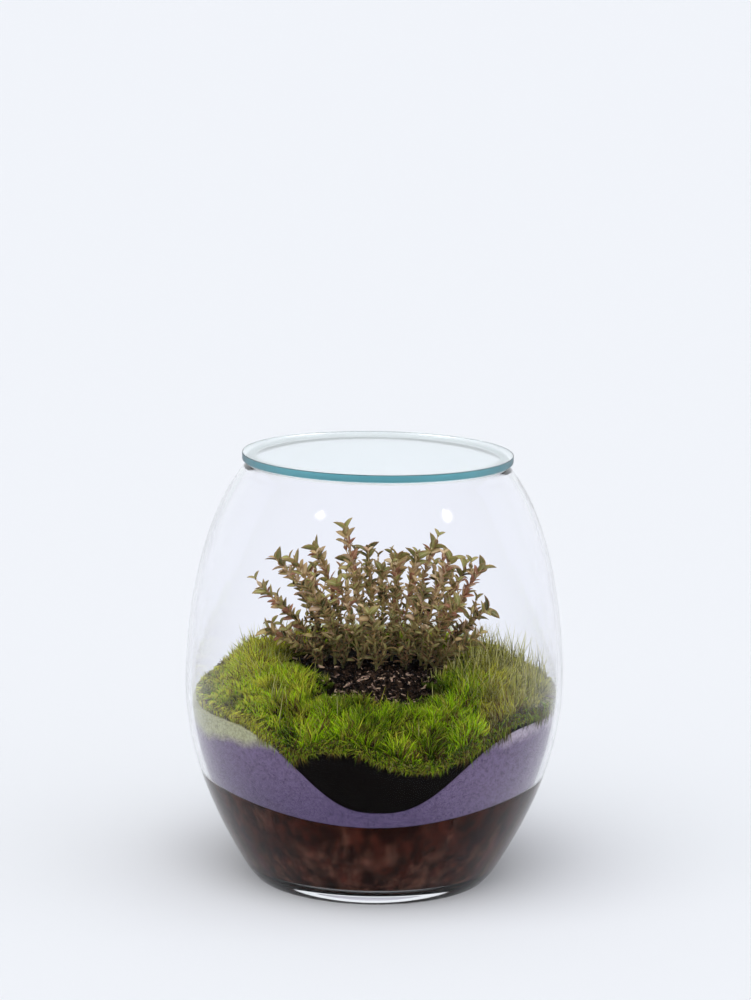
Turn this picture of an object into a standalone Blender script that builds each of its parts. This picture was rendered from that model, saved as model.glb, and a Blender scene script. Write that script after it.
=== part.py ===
"""A closed terrarium: a bellied glass jar with a loose glass lid, planted inside.

Bottom to top it holds drainage gravel, grey sand with a dip at the front, black soil,
five pads of moss and a small bushy plant of many leafy shoots.
The jar stands on the XY plane, centred on the Z axis, and its front faces -Y.
All sizes are in metres; angles round the axis start at the front and grow to the right.
"""

import math
import random

import bmesh
import bpy
from mathutils import Vector
from mathutils.bvhtree import BVHTree

# The jar's outer outline, as two Bezier curves that meet at the belly.
FOOT_RADIUS = 0.0650
BELLY_RADIUS = 0.1040
BELLY_HEIGHT = 0.1105
RIM_RADIUS = 0.0700
RIM_HEIGHT = 0.2327
FOOT_PULL = (0.0252, 0.0382)
BELLY_PULL_DOWN = 0.0353
BELLY_PULL_UP = 0.0235
RIM_PULL = (0.0300, 0.0333)
LOWER_STEPS = 4
UPPER_STEPS = 5
OUTSIDE_SPAN = (0.05, 0.985)
INNER_LOWER_STEPS = 3
INSIDE_SPAN = (0.24, 0.95)
CURVE_STEP = 1e-4

# Glass thickness, the foot's resting ring, the pushed-up underside and the rim.
WALL = 0.0030
FLOOR_HEIGHT = 0.0080
FLOOR_RADIUS = 0.0500
FLOOR_CORNER = ((0.0605, 0.0098), (0.0685, 0.0145))
FOOT_RING = (0.0480, 0.0615)
FOOT_EDGE = (0.0652, 0.0016)
PUSH_UP = 0.0020
RIM_LAND = (0.0672, 0.0690)
RIM_INSIDE = (0.0664, 0.2312)
SIDES = 48
SHARP_ANGLE = 35.0

# The lid: a disc with both edges ground to a small chamfer.
LID_RADIUS = 0.0740
LID_THICKNESS = 0.0040
LID_CHAMFER = 0.0007

MILLIMETRE = 0.001

# What touches keeps this gap.
GAP = 0.0003
SAME_POINT = 1e-7

# Drainage layer: its top edge on the glass, lower across the front, and its middle.
DRAIN_EDGE = 0.0615
DRAIN_FRONT_DIP = 0.0108
DRAIN_DIP_POWER = 3
DRAIN_MIDDLE = 0.0580
DRAIN_STATIONS = (0.70, 1.0)
DRAIN_SIDE = 0.5

# Sand: its edge on the glass, level round the back and sides, with a deep dip at the front.
SAND_EDGE = 0.1008
SAND_DIP_LEVEL = 0.0597
SAND_DIP_ANGLE = 2.0
SAND_DIP_LEFT = 28.0
SAND_DIP_RIGHT = 29.5
SAND_DIP_POWER = 2.7
SAND_MIDDLE = 0.0740

# Soil: where it stops short of the glass, and the dip where it touches it.
SOIL_EDGE = 0.955
SOIL_TOUCH_LEFT = -24.0
SOIL_TOUCH_RIGHT = 60.0
SOIL_TOUCH_FADE = 16.0
SOIL_MOUND = 0.1180
SOIL_MOUND_POWER = 2.2
SOIL_MIN_DEPTH = 0.0032
SOIL_FRONT_LEVEL = 0.0886
SOIL_FRONT_WAVE = 0.0060
SOIL_FRONT_CREST = -10.0
SOIL_FRONT_WAVELENGTH = 50.0
SOIL_STATIONS = (0.22, 0.42, 0.57, 0.79, 1.0)
CRUMB_COUNT = 12
CRUMB_RADII = (0.0018, 0.0034)
CRUMB_REACH = 0.36
CRUMB_LIFT = 0.15
CRUMB_SQUASH = ((0.70, 0.95), (0.60, 0.85))

# Moss: name, first and last column of the sides' grid, inner station, blades, tallest blade, colour.
MOSS_PADS = (
    ("moss_front", -4, 5, 2, 90, 0.0150, "#5f8f1e"),
    ("moss_right", 5, 14, 1, 85, 0.0200, "#8a9440"),
    ("moss_back_right", 14, 24, 2, 55, 0.0160, "#6d8f2c"),
    ("moss_back_left", 24, 35, 2, 55, 0.0160, "#6d8f2c"),
    ("moss_left", 35, 44, 1, 85, 0.0165, "#76992f"),
)
MOSS_SIDE_GAP = 0.00025
MOSS_EDGE_DEPTH = 0.0012
MOSS_DEPTH = 0.0065
MOSS_LUMP = 0.0020
MOSS_LUMPS_ROUND = 20
MOSS_GLASS_DEPTH = 0.0042
MOSS_DOME_POWER = 3
MOSS_WAVES_ACROSS = 9.0
BLADE_RADIUS = 0.0013
BLADE_ROOT = 0.0022
BLADE_SPACING = 0.0042
BLADE_SHORTEST = 0.0090
BLADE_LEAN = (2.0, 26.0)
BLADE_OUTERMOST = 0.98
BLADE_TRIES = 30
BLADE_PROBES = 4
BLADE_MARGIN = 0.0017
BLADE_MIN_DEPTH = 0.0044

# Plant: where each shoot ends, in millimetres (right, back, up).
SHOOT_TIPS = (
    (-60, -4, 157), (-53, 9, 172), (-44, -9, 175), (-57, -15, 138), (-33, 6, 180), (-36, -25, 163),
    (-17, 2, 192), (-20, -29, 167), (-5, 11, 178), (3, -19, 173), (12, 15, 174), (22, -6, 178),
    (31, 5, 183), (26, -30, 164), (41, -5, 177), (49, 12, 168), (58, 2, 171), (61, -9, 151),
    (54, -17, 135), (45, -26, 156), (-39, 31, 162), (-14, 35, 168), (13, 35, 167), (39, 30, 163),
    (-3, -37, 153),
)
BASE_SHRINK = 0.54
BASE_SHIFT = (0.0030, 0.0060)
STEM_DEPTH = 0.0100
STEM_RADII = (0.0011, 0.0009)
STEM_SIDES = 4
STEM_STEPS = 4
STEM_BOW = (0.22, 0.55)
STEM_PROBES = 24
HOLE_RADIUS = 0.00155
HOLE_SIDES = 4
LEAF_PAIRS = 6
LEAF_SPAN = (0.16, 0.985)
LEAF_TWIST = 0.30
LEAF_SIZES = (0.85, 1.10)
LOWEST_LEAF = 0.72
LEAF_LENGTH = 0.0135
LEAF_WIDTH = 0.0046
LEAF_DEPTH = 0.0011
LEAF_SINK = 0.0004
LEAF_BEND_AT = 0.48
LEAF_RISE = (55.0, 28.0)
LEAF_RECURVE = 30.0
LEAF_TURNS = (0, 22, -22, 45, -45, 70, -70)
LEAF_SCALES = (1.0, 0.82, 0.66)
LEAF_PROBES = ((0.12, 0.3), (0.35, 0.85), (0.55, 1.0), (0.75, 0.7), (0.97, 0.15))
CLEAR = 0.0005
GLASS_CLEAR = 0.0020
LEAF_LOWEST = 0.1190
SEED = 7
LEAF_COLOURS = ("#7d6a45", "#8a7350", "#71603f", "#84604c")


def clear_scene():
    """Remove every object that the scene starts with."""
    for thing in list(bpy.data.objects):
        bpy.data.objects.remove(thing, do_unlink=True)


def linear_colour(hex_colour):
    """Turn an sRGB hex colour into linear red, green, blue and alpha."""
    levels = [int(hex_colour[i:i + 2], 16) / 255 for i in (1, 3, 5)]
    linear = [c / 12.92 if c <= 0.04045 else ((c + 0.055) / 1.055) ** 2.4 for c in levels]
    return (*linear, 1.0)


def finish_material(name, hex_colour, roughness, transmission=0.0):
    """Make a plain material with one colour, roughness and clearness."""
    material = bpy.data.materials.new(name)
    material.use_nodes = True
    shader = material.node_tree.nodes["Principled BSDF"]
    shader.inputs["Base Color"].default_value = linear_colour(hex_colour)
    shader.inputs["Roughness"].default_value = roughness
    shader.inputs["Metallic"].default_value = 0.0
    shader.inputs["Transmission Weight"].default_value = transmission
    return material


def add_object(name, bm, material=None):
    """Turn a bmesh into an object with outward faces."""
    bmesh.ops.recalc_face_normals(bm, faces=bm.faces)
    mesh = bpy.data.meshes.new(name)
    bm.to_mesh(mesh)
    bm.free()
    if material:
        mesh.materials.append(material)
    thing = bpy.data.objects.new(name, mesh)
    bpy.context.scene.collection.objects.link(thing)
    return thing


def combine(core, others, operation):
    """Join other objects to the core, or cut them from it, and remove them."""
    group = bpy.data.collections.new(core.name + "_parts")
    bpy.context.scene.collection.children.link(group)
    for other in others:
        group.objects.link(other)
        bpy.context.scene.collection.objects.unlink(other)
    boolean = core.modifiers.new("combine", "BOOLEAN")
    boolean.operation = operation
    boolean.operand_type = "COLLECTION"
    boolean.collection = group
    boolean.solver = "MANIFOLD"
    graph = bpy.context.evaluated_depsgraph_get()
    joined = bpy.data.meshes.new_from_object(core.evaluated_get(graph))
    core.modifiers.clear()
    old = core.data
    core.data = joined
    bpy.data.meshes.remove(old)
    for other in others:
        bpy.data.objects.remove(other, do_unlink=True)
    bpy.data.collections.remove(group)


def polar(radius, degrees, height):
    """A point at a radius and angle round the jar's axis."""
    angle = math.radians(degrees)
    return Vector((radius * math.sin(angle), -radius * math.cos(angle), height))


def column_angle(column):
    """The angle of one of the grid's columns."""
    return 360.0 * column / SIDES


def bezier(points, t):
    """A point on a cubic Bezier curve of (radius, height) points."""
    weights = ((1 - t) ** 3, 3 * t * (1 - t) ** 2, 3 * t * t * (1 - t), t ** 3)
    return tuple(sum(w * p[axis] for w, p in zip(weights, points)) for axis in (0, 1))


def outer_curves():
    """The two Bezier curves of the jar's outside, below and above the belly."""
    foot = (FOOT_RADIUS, 0.0)
    belly = (BELLY_RADIUS, BELLY_HEIGHT)
    rim = (RIM_RADIUS, RIM_HEIGHT)
    lower = (foot, (foot[0] + FOOT_PULL[0], FOOT_PULL[1]), (belly[0], belly[1] - BELLY_PULL_DOWN), belly)
    upper = (belly, (belly[0], belly[1] + BELLY_PULL_UP), (rim[0] + RIM_PULL[0], rim[1] - RIM_PULL[1]), rim)
    return lower, upper


def offset_point(curve, t, distance):
    """A point inside the outer curve, square to it."""
    near = bezier(curve, t - CURVE_STEP)
    far = bezier(curve, t + CURVE_STEP)
    run = (far[0] - near[0], far[1] - near[1])
    length = math.hypot(*run)
    place = bezier(curve, t)
    return (place[0] - distance * run[1] / length, place[1] + distance * run[0] / length)


def inner_wall():
    """The inner wall's outline from the floor's corner up to the rim."""
    lower, upper = outer_curves()
    first, last = INSIDE_SPAN
    below = [first + (1 - first) * i / INNER_LOWER_STEPS for i in range(INNER_LOWER_STEPS + 1)]
    above = [last * i / UPPER_STEPS for i in range(1, UPPER_STEPS + 1)]
    return [offset_point(lower, t, WALL) for t in below] + [offset_point(upper, t, WALL) for t in above]


INNER_WALL = inner_wall()


def wall_radius(height):
    """The largest radius of what stands against the glass at a height."""
    outline = [FLOOR_CORNER[1], *INNER_WALL]
    for low, high in zip(outline, outline[1:]):
        if height <= high[1]:
            share = (height - low[1]) / (high[1] - low[1])
            return low[0] + share * (high[0] - low[0]) - GAP
    return outline[-1][0] - GAP


def ring_points(radius_of, height_of):
    """Points of one ring, from a radius and a height for each column."""
    angles = [column_angle(column) for column in range(SIDES)]
    return [polar(radius_of(angle), angle, height_of(angle)) for angle in angles]


def add_ring(bm, points, previous=None):
    """Add a ring's vertices, sharing those that coincide with the ring before."""
    ring = []
    for index, point in enumerate(points):
        matched = previous is not None and len(previous) == len(points)
        if matched and (previous[index].co - point).length < SAME_POINT:
            ring.append(previous[index])
        else:
            ring.append(bm.verts.new(point))
    return ring


def stitch(bm, first, second, inward):
    """Join two rings with triangles whose diagonals match on both sides of a layer."""
    for index in range(SIDES):
        after = (index + 1) % SIDES
        a, b = (first[0], first[0]) if len(first) == 1 else (first[index], first[after])
        d, c = (second[0], second[0]) if len(second) == 1 else (second[index], second[after])
        corners = ((a, b, d), (b, c, d)) if inward else ((a, b, c), (a, c, d))
        for triangle in corners:
            if len(set(triangle)) == 3:
                bm.faces.new(triangle)


def rings_to_mesh(rings):
    """Make a closed mesh from (points, inward) rings, from its bottom to its top."""
    bm = bmesh.new()
    previous = None
    for points, inward in rings:
        ring = add_ring(bm, points, previous)
        if previous:
            stitch(bm, previous, ring, inward)
        previous = ring
    return bm


def outline_rings(outline):
    """Rings of a turned shape; an outline point on the axis becomes a pole."""
    rings = []
    for radius, height in outline:
        if radius == 0.0:
            rings.append(([Vector((0.0, 0.0, height))], False))
        else:
            rings.append((ring_points(lambda a, r=radius: r, lambda a, h=height: h), False))
    return rings


def make_jar():
    """The glass jar: turned outline from the underside, up the outside and down the inside."""
    lower, upper = outer_curves()
    first, last = OUTSIDE_SPAN
    sides = [bezier(lower, first + (1 - first) * i / LOWER_STEPS) for i in range(LOWER_STEPS + 1)]
    sides += [bezier(upper, last * i / UPPER_STEPS) for i in range(1, UPPER_STEPS + 1)]
    outline = [(0.0, PUSH_UP), (FOOT_RING[0], 0.0), (FOOT_RING[1], 0.0), FOOT_EDGE, *sides]
    outline += [(RIM_LAND[1], RIM_HEIGHT), (RIM_LAND[0], RIM_HEIGHT), RIM_INSIDE]
    outline += [*reversed(INNER_WALL), *reversed(FLOOR_CORNER)]
    outline += [(FLOOR_RADIUS, FLOOR_HEIGHT), (0.0, FLOOR_HEIGHT)]
    glass = finish_material("jar_glass", "#eef4f2", 0.02, 1.0)
    jar = add_object("jar", rings_to_mesh(outline_rings(outline)), glass)
    jar.data.shade_smooth()
    jar.data.set_sharp_from_angle(angle=math.radians(SHARP_ANGLE))


def make_lid():
    """The loose glass lid on the rim."""
    low = RIM_HEIGHT + GAP
    high = low + LID_THICKNESS
    flat = LID_RADIUS - LID_CHAMFER
    outline = [(0.0, low), (flat, low), (LID_RADIUS, low + LID_CHAMFER)]
    outline += [(LID_RADIUS, high - LID_CHAMFER), (flat, high), (0.0, high)]
    glass = finish_material("lid_glass", "#bfe0d8", 0.03, 1.0)
    add_object("lid", rings_to_mesh(outline_rings(outline)), glass)


def drain_edge(angle):
    """Height of the drainage layer's top on the glass."""
    return DRAIN_EDGE - DRAIN_FRONT_DIP * max(math.cos(math.radians(angle)), 0.0) ** DRAIN_DIP_POWER


def drain_rings(gap):
    """Rings of the drainage layer's top, from the middle out, raised by a gap."""
    rings = []
    for share in DRAIN_STATIONS:
        def radius_of(angle, s=share):
            return s * wall_radius(drain_edge(angle) + gap)

        def height_of(angle, s=share):
            return DRAIN_MIDDLE + (drain_edge(angle) - DRAIN_MIDDLE) * s * s + gap

        rings.append(ring_points(radius_of, height_of))
    return rings


def signed_angle(angle):
    """The same angle between -180 and 180 degrees."""
    return (angle + 180.0) % 360.0 - 180.0


def sand_edge(angle):
    """Height of the sand's top on the glass, with the dip at the front."""
    turn = signed_angle(angle)
    off = turn - SAND_DIP_ANGLE
    width = SAND_DIP_LEFT if off < 0 else SAND_DIP_RIGHT
    return SAND_EDGE - (SAND_EDGE - SAND_DIP_LEVEL) * math.exp(-abs(off / width) ** SAND_DIP_POWER)


def touch_share(angle):
    """1 where the soil reaches the glass, 0 where a rim of sand shows outside it."""
    turn = signed_angle(angle)
    off = max(SOIL_TOUCH_LEFT - turn, turn - SOIL_TOUCH_RIGHT, 0.0)
    share = min(off / SOIL_TOUCH_FADE, 1.0)
    return 1.0 - share * share * (3.0 - 2.0 * share)


def soil_edge(angle):
    """The soil's outer edge as a share of the glass's radius."""
    return SOIL_EDGE + (1.0 - SOIL_EDGE) * touch_share(angle)


def sand_rings(gap):
    """Rings of the sand's top under the soil, from the middle out, raised by a gap."""
    rings = []
    for share in SOIL_STATIONS:
        def radius_of(angle, s=share):
            return s * soil_edge(angle) * wall_radius(sand_edge(angle) + gap)

        def height_of(angle, s=share):
            return SAND_MIDDLE + (sand_edge(angle) - SAND_MIDDLE) * s * s + gap

        rings.append(ring_points(radius_of, height_of))
    return rings


def soil_top_edge(angle):
    """Height of the soil's top at its outer edge."""
    phase = 2.0 * math.pi * (signed_angle(angle) - SOIL_FRONT_CREST) / SOIL_FRONT_WAVELENGTH
    return max(SOIL_FRONT_LEVEL + SOIL_FRONT_WAVE * math.cos(phase), sand_edge(angle) + SOIL_MIN_DEPTH)


def soil_reach(angle):
    """The soil's outer radius at the level of its top."""
    return soil_edge(angle) * wall_radius(soil_top_edge(angle))


def soil_top(share, angle):
    """Height of the soil's top at a share of its outer radius."""
    return SOIL_MOUND + (soil_top_edge(angle) - SOIL_MOUND) * share ** SOIL_MOUND_POWER


def soil_height_at(x, y):
    """Height of the soil's top over a point of the plan."""
    angle = math.degrees(math.atan2(x, -y))
    return soil_top(math.hypot(x, y) / soil_reach(angle), angle)


def make_drainage():
    """The drainage layer, on the jar's floor and against its glass."""
    floor = FLOOR_HEIGHT + GAP
    rings = [([Vector((0.0, 0.0, floor))], False)]
    rings.append((ring_points(lambda a: FLOOR_RADIUS, lambda a: floor), False))
    for radius, height in FLOOR_CORNER:
        rings.append((ring_points(lambda a, r=radius: r - GAP, lambda a, h=height: h + GAP), False))
    low = FLOOR_CORNER[1][1]

    def middle(angle):
        return low + DRAIN_SIDE * (drain_edge(angle) - low)

    rings.append((ring_points(lambda a: wall_radius(middle(a)), middle), False))
    top = drain_rings(0.0)
    rings.append((top[-1], False))
    rings += [(points, True) for points in reversed(top[:-1])]
    rings.append(([Vector((0.0, 0.0, DRAIN_MIDDLE))], True))
    gravel = finish_material("drainage_gravel", "#3c2a22", 0.85)
    add_object("drainage_layer", rings_to_mesh(rings), gravel)


def make_sand():
    """The sand layer, under the soil and round its edge."""
    rings = [([Vector((0.0, 0.0, DRAIN_MIDDLE + GAP))], False)]
    rings += [(points, False) for points in drain_rings(GAP)]

    def middle(angle):
        return (drain_edge(angle) + sand_edge(angle)) / 2

    rings.append((ring_points(lambda a: wall_radius(middle(a)), middle), False))
    rings.append((ring_points(lambda a: wall_radius(sand_edge(a)), sand_edge), False))
    top = sand_rings(0.0)
    rings += [(points, True) for points in reversed(top)]
    rings.append(([Vector((0.0, 0.0, SAND_MIDDLE))], True))
    add_object("sand_layer", rings_to_mesh(rings), finish_material("lilac_sand", "#8e8a9c", 0.9))


def soil_body():
    """The soil's mound without its holes and crumbs."""
    rings = [([Vector((0.0, 0.0, SAND_MIDDLE + GAP))], False)]
    rings += [(points, False) for points in sand_rings(GAP)]

    def middle(angle):
        return (sand_edge(angle) + soil_top_edge(angle)) / 2

    rings.append((ring_points(lambda a: soil_edge(a) * wall_radius(middle(a)), middle), False))
    for share in reversed(SOIL_STATIONS):
        def radius_of(angle, s=share):
            return s * soil_reach(angle)

        def height_of(angle, s=share):
            return soil_top(s, angle)

        rings.append((ring_points(radius_of, height_of), share < 1.0))
    rings.append(([Vector((0.0, 0.0, SOIL_MOUND))], True))
    return rings_to_mesh(rings)


def prism(name, radius, sides, low, high):
    """A straight upright prism between two points."""
    bm = bmesh.new()
    turns = [2.0 * math.pi * (side + 0.5) / sides for side in range(sides)]
    bottom = [bm.verts.new(low + Vector((radius * math.cos(t), radius * math.sin(t), 0.0))) for t in turns]
    bm.faces.new(bottom)
    lifted = bmesh.ops.extrude_face_region(bm, geom=bm.faces[:])["geom"]
    raised = [item for item in lifted if isinstance(item, bmesh.types.BMVert)]
    bmesh.ops.translate(bm, verts=raised, vec=high - low)
    return add_object(name, bm)


def make_soil(shoots):
    """The potting soil, with a hole for each stem and crumbs on its bare top."""
    soil = add_object("potting_soil", soil_body(), finish_material("potting_soil", "#17120f", 0.95))
    rng = random.Random(SEED)
    crumbs = []
    bases = [shoot["base"] for shoot in shoots]
    while len(crumbs) < CRUMB_COUNT:
        angle = rng.uniform(-180.0, 180.0)
        radius = rng.uniform(*CRUMB_RADII)
        place = polar(CRUMB_REACH * soil_reach(angle) * math.sqrt(rng.random()), angle, 0.0)
        clear = min((Vector((b.x, b.y, 0.0)) - place).length for b in bases)
        if clear < radius + HOLE_RADIUS + CLEAR:
            continue
        place.z = soil_height_at(place.x, place.y) + CRUMB_LIFT * radius
        bm = bmesh.new()
        bmesh.ops.create_icosphere(bm, subdivisions=1, radius=radius)
        squash = Vector((1.0, rng.uniform(*CRUMB_SQUASH[0]), rng.uniform(*CRUMB_SQUASH[1])))
        bmesh.ops.scale(bm, vec=squash, verts=bm.verts)
        bmesh.ops.translate(bm, vec=place, verts=bm.verts)
        crumbs.append(add_object("crumb", bm))
    combine(soil, crumbs, "UNION")
    cutters = []
    for base in bases:
        low = base - Vector((0.0, 0.0, STEM_DEPTH + GAP))
        high = base + Vector((0.0, 0.0, 2.0 * CRUMB_RADII[1]))
        cutters.append(prism("hole", HOLE_RADIUS, HOLE_SIDES, low, high))
    combine(soil, cutters, "DIFFERENCE")


def plan_shoots():
    """Each shoot's centre line, from the soil to its tip."""
    shoots = []
    for right, back, up in SHOOT_TIPS:
        tip = Vector((right, back, up)) * MILLIMETRE
        tip.y += BASE_SHIFT[1]
        x = BASE_SHIFT[0] + BASE_SHRINK * tip.x
        y = BASE_SHIFT[1] + BASE_SHRINK * (tip.y - BASE_SHIFT[1])
        base = Vector((x, y, soil_height_at(x, y)))
        rise = tip - base
        knee = base + Vector((STEM_BOW[0] * rise.x, STEM_BOW[0] * rise.y, STEM_BOW[1] * rise.z))
        shoots.append({"base": base, "knee": knee, "tip": tip, "leaves": []})
    return shoots


def along(shoot, t):
    """A point on the shoot and its direction there."""
    base, knee, tip = shoot["base"], shoot["knee"], shoot["tip"]
    place = (1 - t) ** 2 * base + 2 * t * (1 - t) * knee + t * t * tip
    heading = (1 - t) * (knee - base) + t * (tip - knee)
    return place, heading.normalized()


def leaf_frame(shoot, t, turn, scale):
    """Root, bend and tip of one leaf, and the direction of its width."""
    place, heading = along(shoot, t)
    side = heading.cross(Vector((0.0, 1.0, 0.0))).normalized()
    other = side.cross(heading)
    out = math.cos(turn) * side + math.sin(turn) * other
    rise = math.radians(LEAF_RISE[0] + (LEAF_RISE[1] - LEAF_RISE[0]) * t)
    droop = rise + math.radians(LEAF_RECURVE)
    length = LEAF_LENGTH * scale
    bend = place + length * LEAF_BEND_AT * (math.cos(rise) * heading + math.sin(rise) * out)
    tip = bend + length * (1 - LEAF_BEND_AT) * (math.cos(droop) * heading + math.sin(droop) * out)
    root = place - LEAF_SINK * out
    return {"root": root, "bend": bend, "tip": tip, "side": heading.cross(out), "scale": scale}


def leaf_probes(leaf):
    """Points along a leaf with the half width it has there."""
    probes = []
    for share, fullness in LEAF_PROBES:
        if share < LEAF_BEND_AT:
            place = leaf["root"].lerp(leaf["bend"], share / LEAF_BEND_AT)
        else:
            place = leaf["bend"].lerp(leaf["tip"], (share - LEAF_BEND_AT) / (1 - LEAF_BEND_AT))
        probes.append((place, fullness * leaf["scale"] * LEAF_WIDTH / 2))
    return probes


def stem_probes(shoot):
    """Points along a stem with its radius."""
    return [(along(shoot, i / STEM_PROBES)[0], STEM_RADII[0]) for i in range(STEM_PROBES + 1)]


def is_free(probes, taken, owner):
    """Whether a leaf is clear of the glass, the ground and the other shoots."""
    for place, reach in probes:
        if place.z < LEAF_LOWEST or math.hypot(place.x, place.y) > wall_radius(place.z) - GLASS_CLEAR:
            return False
        for other, spot, size in taken:
            if other != owner and (spot - place).length < reach + size + CLEAR:
                return False
    return True


def grow_leaves(shoots):
    """Place opposite pairs of leaves on every shoot, turned or shortened to stay clear."""
    rng = random.Random(SEED)
    taken = [(i, place, size) for i, shoot in enumerate(shoots) for place, size in stem_probes(shoot)]
    for pair in range(LEAF_PAIRS):
        for owner, shoot in enumerate(shoots):
            t = LEAF_SPAN[0] + (LEAF_SPAN[1] - LEAF_SPAN[0]) * pair / (LEAF_PAIRS - 1)
            start = rng.uniform(-LEAF_TWIST, LEAF_TWIST) + (LEAF_PAIRS - 1 - pair) * math.pi / 2
            size = rng.uniform(*LEAF_SIZES) * (LOWEST_LEAF + (1.0 - LOWEST_LEAF) * min(1.0, 2.0 * t))
            for half in (0.0, math.pi):
                for scale, turn in ((s, a) for s in LEAF_SCALES for a in LEAF_TURNS):
                    leaf = leaf_frame(shoot, t, start + half + math.radians(turn), size * scale)
                    probes = leaf_probes(leaf)
                    if is_free(probes, taken, owner):
                        shoot["leaves"].append(leaf)
                        taken += [(owner, place, reach) for place, reach in probes]
                        break
    return taken


def leaf_mesh(leaf):
    """A closed leaf: a keeled blade from a point in the stem, widest at its bend, to its tip."""
    bm = bmesh.new()
    side = leaf["side"]
    first = (leaf["bend"] - leaf["root"]).normalized()
    below = first.cross(side).normalized()
    if below.z > 0:
        below = -below
    half = leaf["scale"] * LEAF_WIDTH / 2
    lift = leaf["bend"] - below * LEAF_DEPTH / 3
    corners = (lift - side * half, lift + side * half, lift + below * LEAF_DEPTH)
    middle = [bm.verts.new(corner) for corner in corners]
    ends = [bm.verts.new(leaf[end]) for end in ("root", "tip")]
    for index in range(3):
        for end in ends:
            bm.faces.new((middle[index], middle[(index + 1) % 3], end))
    return add_object("leaf", bm)


def stem_mesh(name, shoot, material):
    """A stem: tapered, in its hole below the soil and bowed above it."""
    bm = bmesh.new()
    low = shoot["base"] - Vector((0.0, 0.0, STEM_DEPTH))
    stations = [(low, Vector((0.0, 0.0, 1.0)), 0.0)]
    stations += [(*along(shoot, i / STEM_STEPS), i / STEM_STEPS) for i in range(STEM_STEPS + 1)]
    rings = []
    for place, heading, t in stations:
        radius = STEM_RADII[0] + (STEM_RADII[1] - STEM_RADII[0]) * t
        across = Vector((0.0, 0.0, 1.0)) if t == 0.0 else heading
        side = across.cross(Vector((0.0, 1.0, 0.0))).normalized()
        other = side.cross(across)
        turns = [2.0 * math.pi * (corner + 0.5) / STEM_SIDES for corner in range(STEM_SIDES)]
        corners = [place + radius * (math.cos(a) * side + math.sin(a) * other) for a in turns]
        rings.append([bm.verts.new(corner) for corner in corners])
    bm.faces.new(rings[0])
    bm.faces.new(rings[-1])
    for first, second in zip(rings, rings[1:]):
        for index in range(STEM_SIDES):
            after = (index + 1) % STEM_SIDES
            bm.faces.new((first[index], first[after], second[after], second[index]))
    return add_object(name, bm, material)


def make_shoots(shoots):
    """One node for each leafy shoot: its stem fused with its leaves."""
    finishes = [finish_material(f"leaf_{i}", colour, 0.6) for i, colour in enumerate(LEAF_COLOURS, 1)]
    for number, shoot in enumerate(shoots, 1):
        material = finishes[number % len(finishes)]
        stem = stem_mesh(f"shoot_{number:02d}", shoot, material)
        combine(stem, [leaf_mesh(leaf) for leaf in shoot["leaves"]], "UNION")


def pad_depth(inner, share, angle):
    """Thickness of a moss pad at a share of the soil's radius."""
    across = (share - inner) / (1.0 - inner)
    wave = math.sin(math.radians(angle) * MOSS_LUMPS_ROUND) * math.cos(MOSS_WAVES_ACROSS * across)
    dome = (MOSS_DEPTH + MOSS_LUMP * wave) * (1.0 - abs(2.0 * across - 1.0) ** MOSS_DOME_POWER)
    edge = MOSS_EDGE_DEPTH + (MOSS_GLASS_DEPTH - MOSS_EDGE_DEPTH) * across
    return max(dome, edge)


def pad_angles(first, last):
    """Angles of a pad's columns, drawn in at its two sides."""
    angles = [column_angle(column) for column in range(first, last + 1)]
    inset = math.degrees(MOSS_SIDE_GAP / BELLY_RADIUS)
    angles[0] += inset
    angles[-1] -= inset
    return angles


def pad_mesh(inner_index, angles):
    """A low lumpy pad lying on the soil between two angles."""
    bm = bmesh.new()
    stations = SOIL_STATIONS[inner_index:]
    inner = stations[0]
    low, high = [], []
    for share in stations:
        under, over = [], []
        for angle in angles:
            height = soil_top(share, angle) + GAP
            thickness = pad_depth(inner, share, angle)
            under.append(bm.verts.new(polar(share * soil_reach(angle), angle, height)))
            reach = min(share * soil_reach(angle), wall_radius(height + thickness))
            over.append(bm.verts.new(polar(reach, angle, height + thickness)))
        low.append(under)
        high.append(over)
    for sheet, upward in ((low, False), (high, True)):
        for near, far in zip(sheet, sheet[1:]):
            for index in range(len(angles) - 1):
                a, b, c, d = near[index], near[index + 1], far[index + 1], far[index]
                bm.faces.new((a, d, c) if upward else (a, c, d))
                bm.faces.new((a, c, b) if upward else (a, b, c))
    edges = [(low[0], high[0]), (low[-1], high[-1])]
    edges += [([row[end] for row in low], [row[end] for row in high]) for end in (0, -1)]
    for under, over in edges:
        for index in range(len(under) - 1):
            bm.faces.new((under[index], under[index + 1], over[index + 1]))
            bm.faces.new((under[index], over[index + 1], over[index]))
    return bm


def blade_mesh(root, tip, turn):
    """A three-sided needle, its root sunk in the pad."""
    bm = bmesh.new()
    corners = [turn + 2.0 * math.pi * corner / 3 for corner in range(3)]
    foot = [bm.verts.new(root + BLADE_RADIUS * Vector((math.cos(a), math.sin(a), 0.0))) for a in corners]
    point = bm.verts.new(tip)
    bm.faces.new(foot)
    for index in range(3):
        bm.faces.new((foot[index], foot[(index + 1) % 3], point))
    return add_object("blade", bm)


def blade_fits(root, tip, angles):
    """Whether a blade stays inside its pad's two sides and clear of the glass."""
    radius = math.hypot(root.x, root.y)
    margin = math.degrees(BLADE_MARGIN / radius)
    for place in (root, tip):
        angle = math.degrees(math.atan2(place.x, -place.y))
        if min(signed_angle(angle - angles[0]), signed_angle(angles[-1] - angle)) < margin:
            return False
    if radius > wall_radius(root.z) - 2 * BLADE_RADIUS:
        return False
    return math.hypot(tip.x, tip.y) < wall_radius(tip.z) - CLEAR


def blade_is_free(root, tip, taken):
    """Whether a blade is clear of every stem and leaf."""
    steps = [root.lerp(tip, i / BLADE_PROBES) for i in range(BLADE_PROBES + 1)]
    return all((spot - step).length > size + BLADE_RADIUS for _, spot, size in taken for step in steps)


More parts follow.
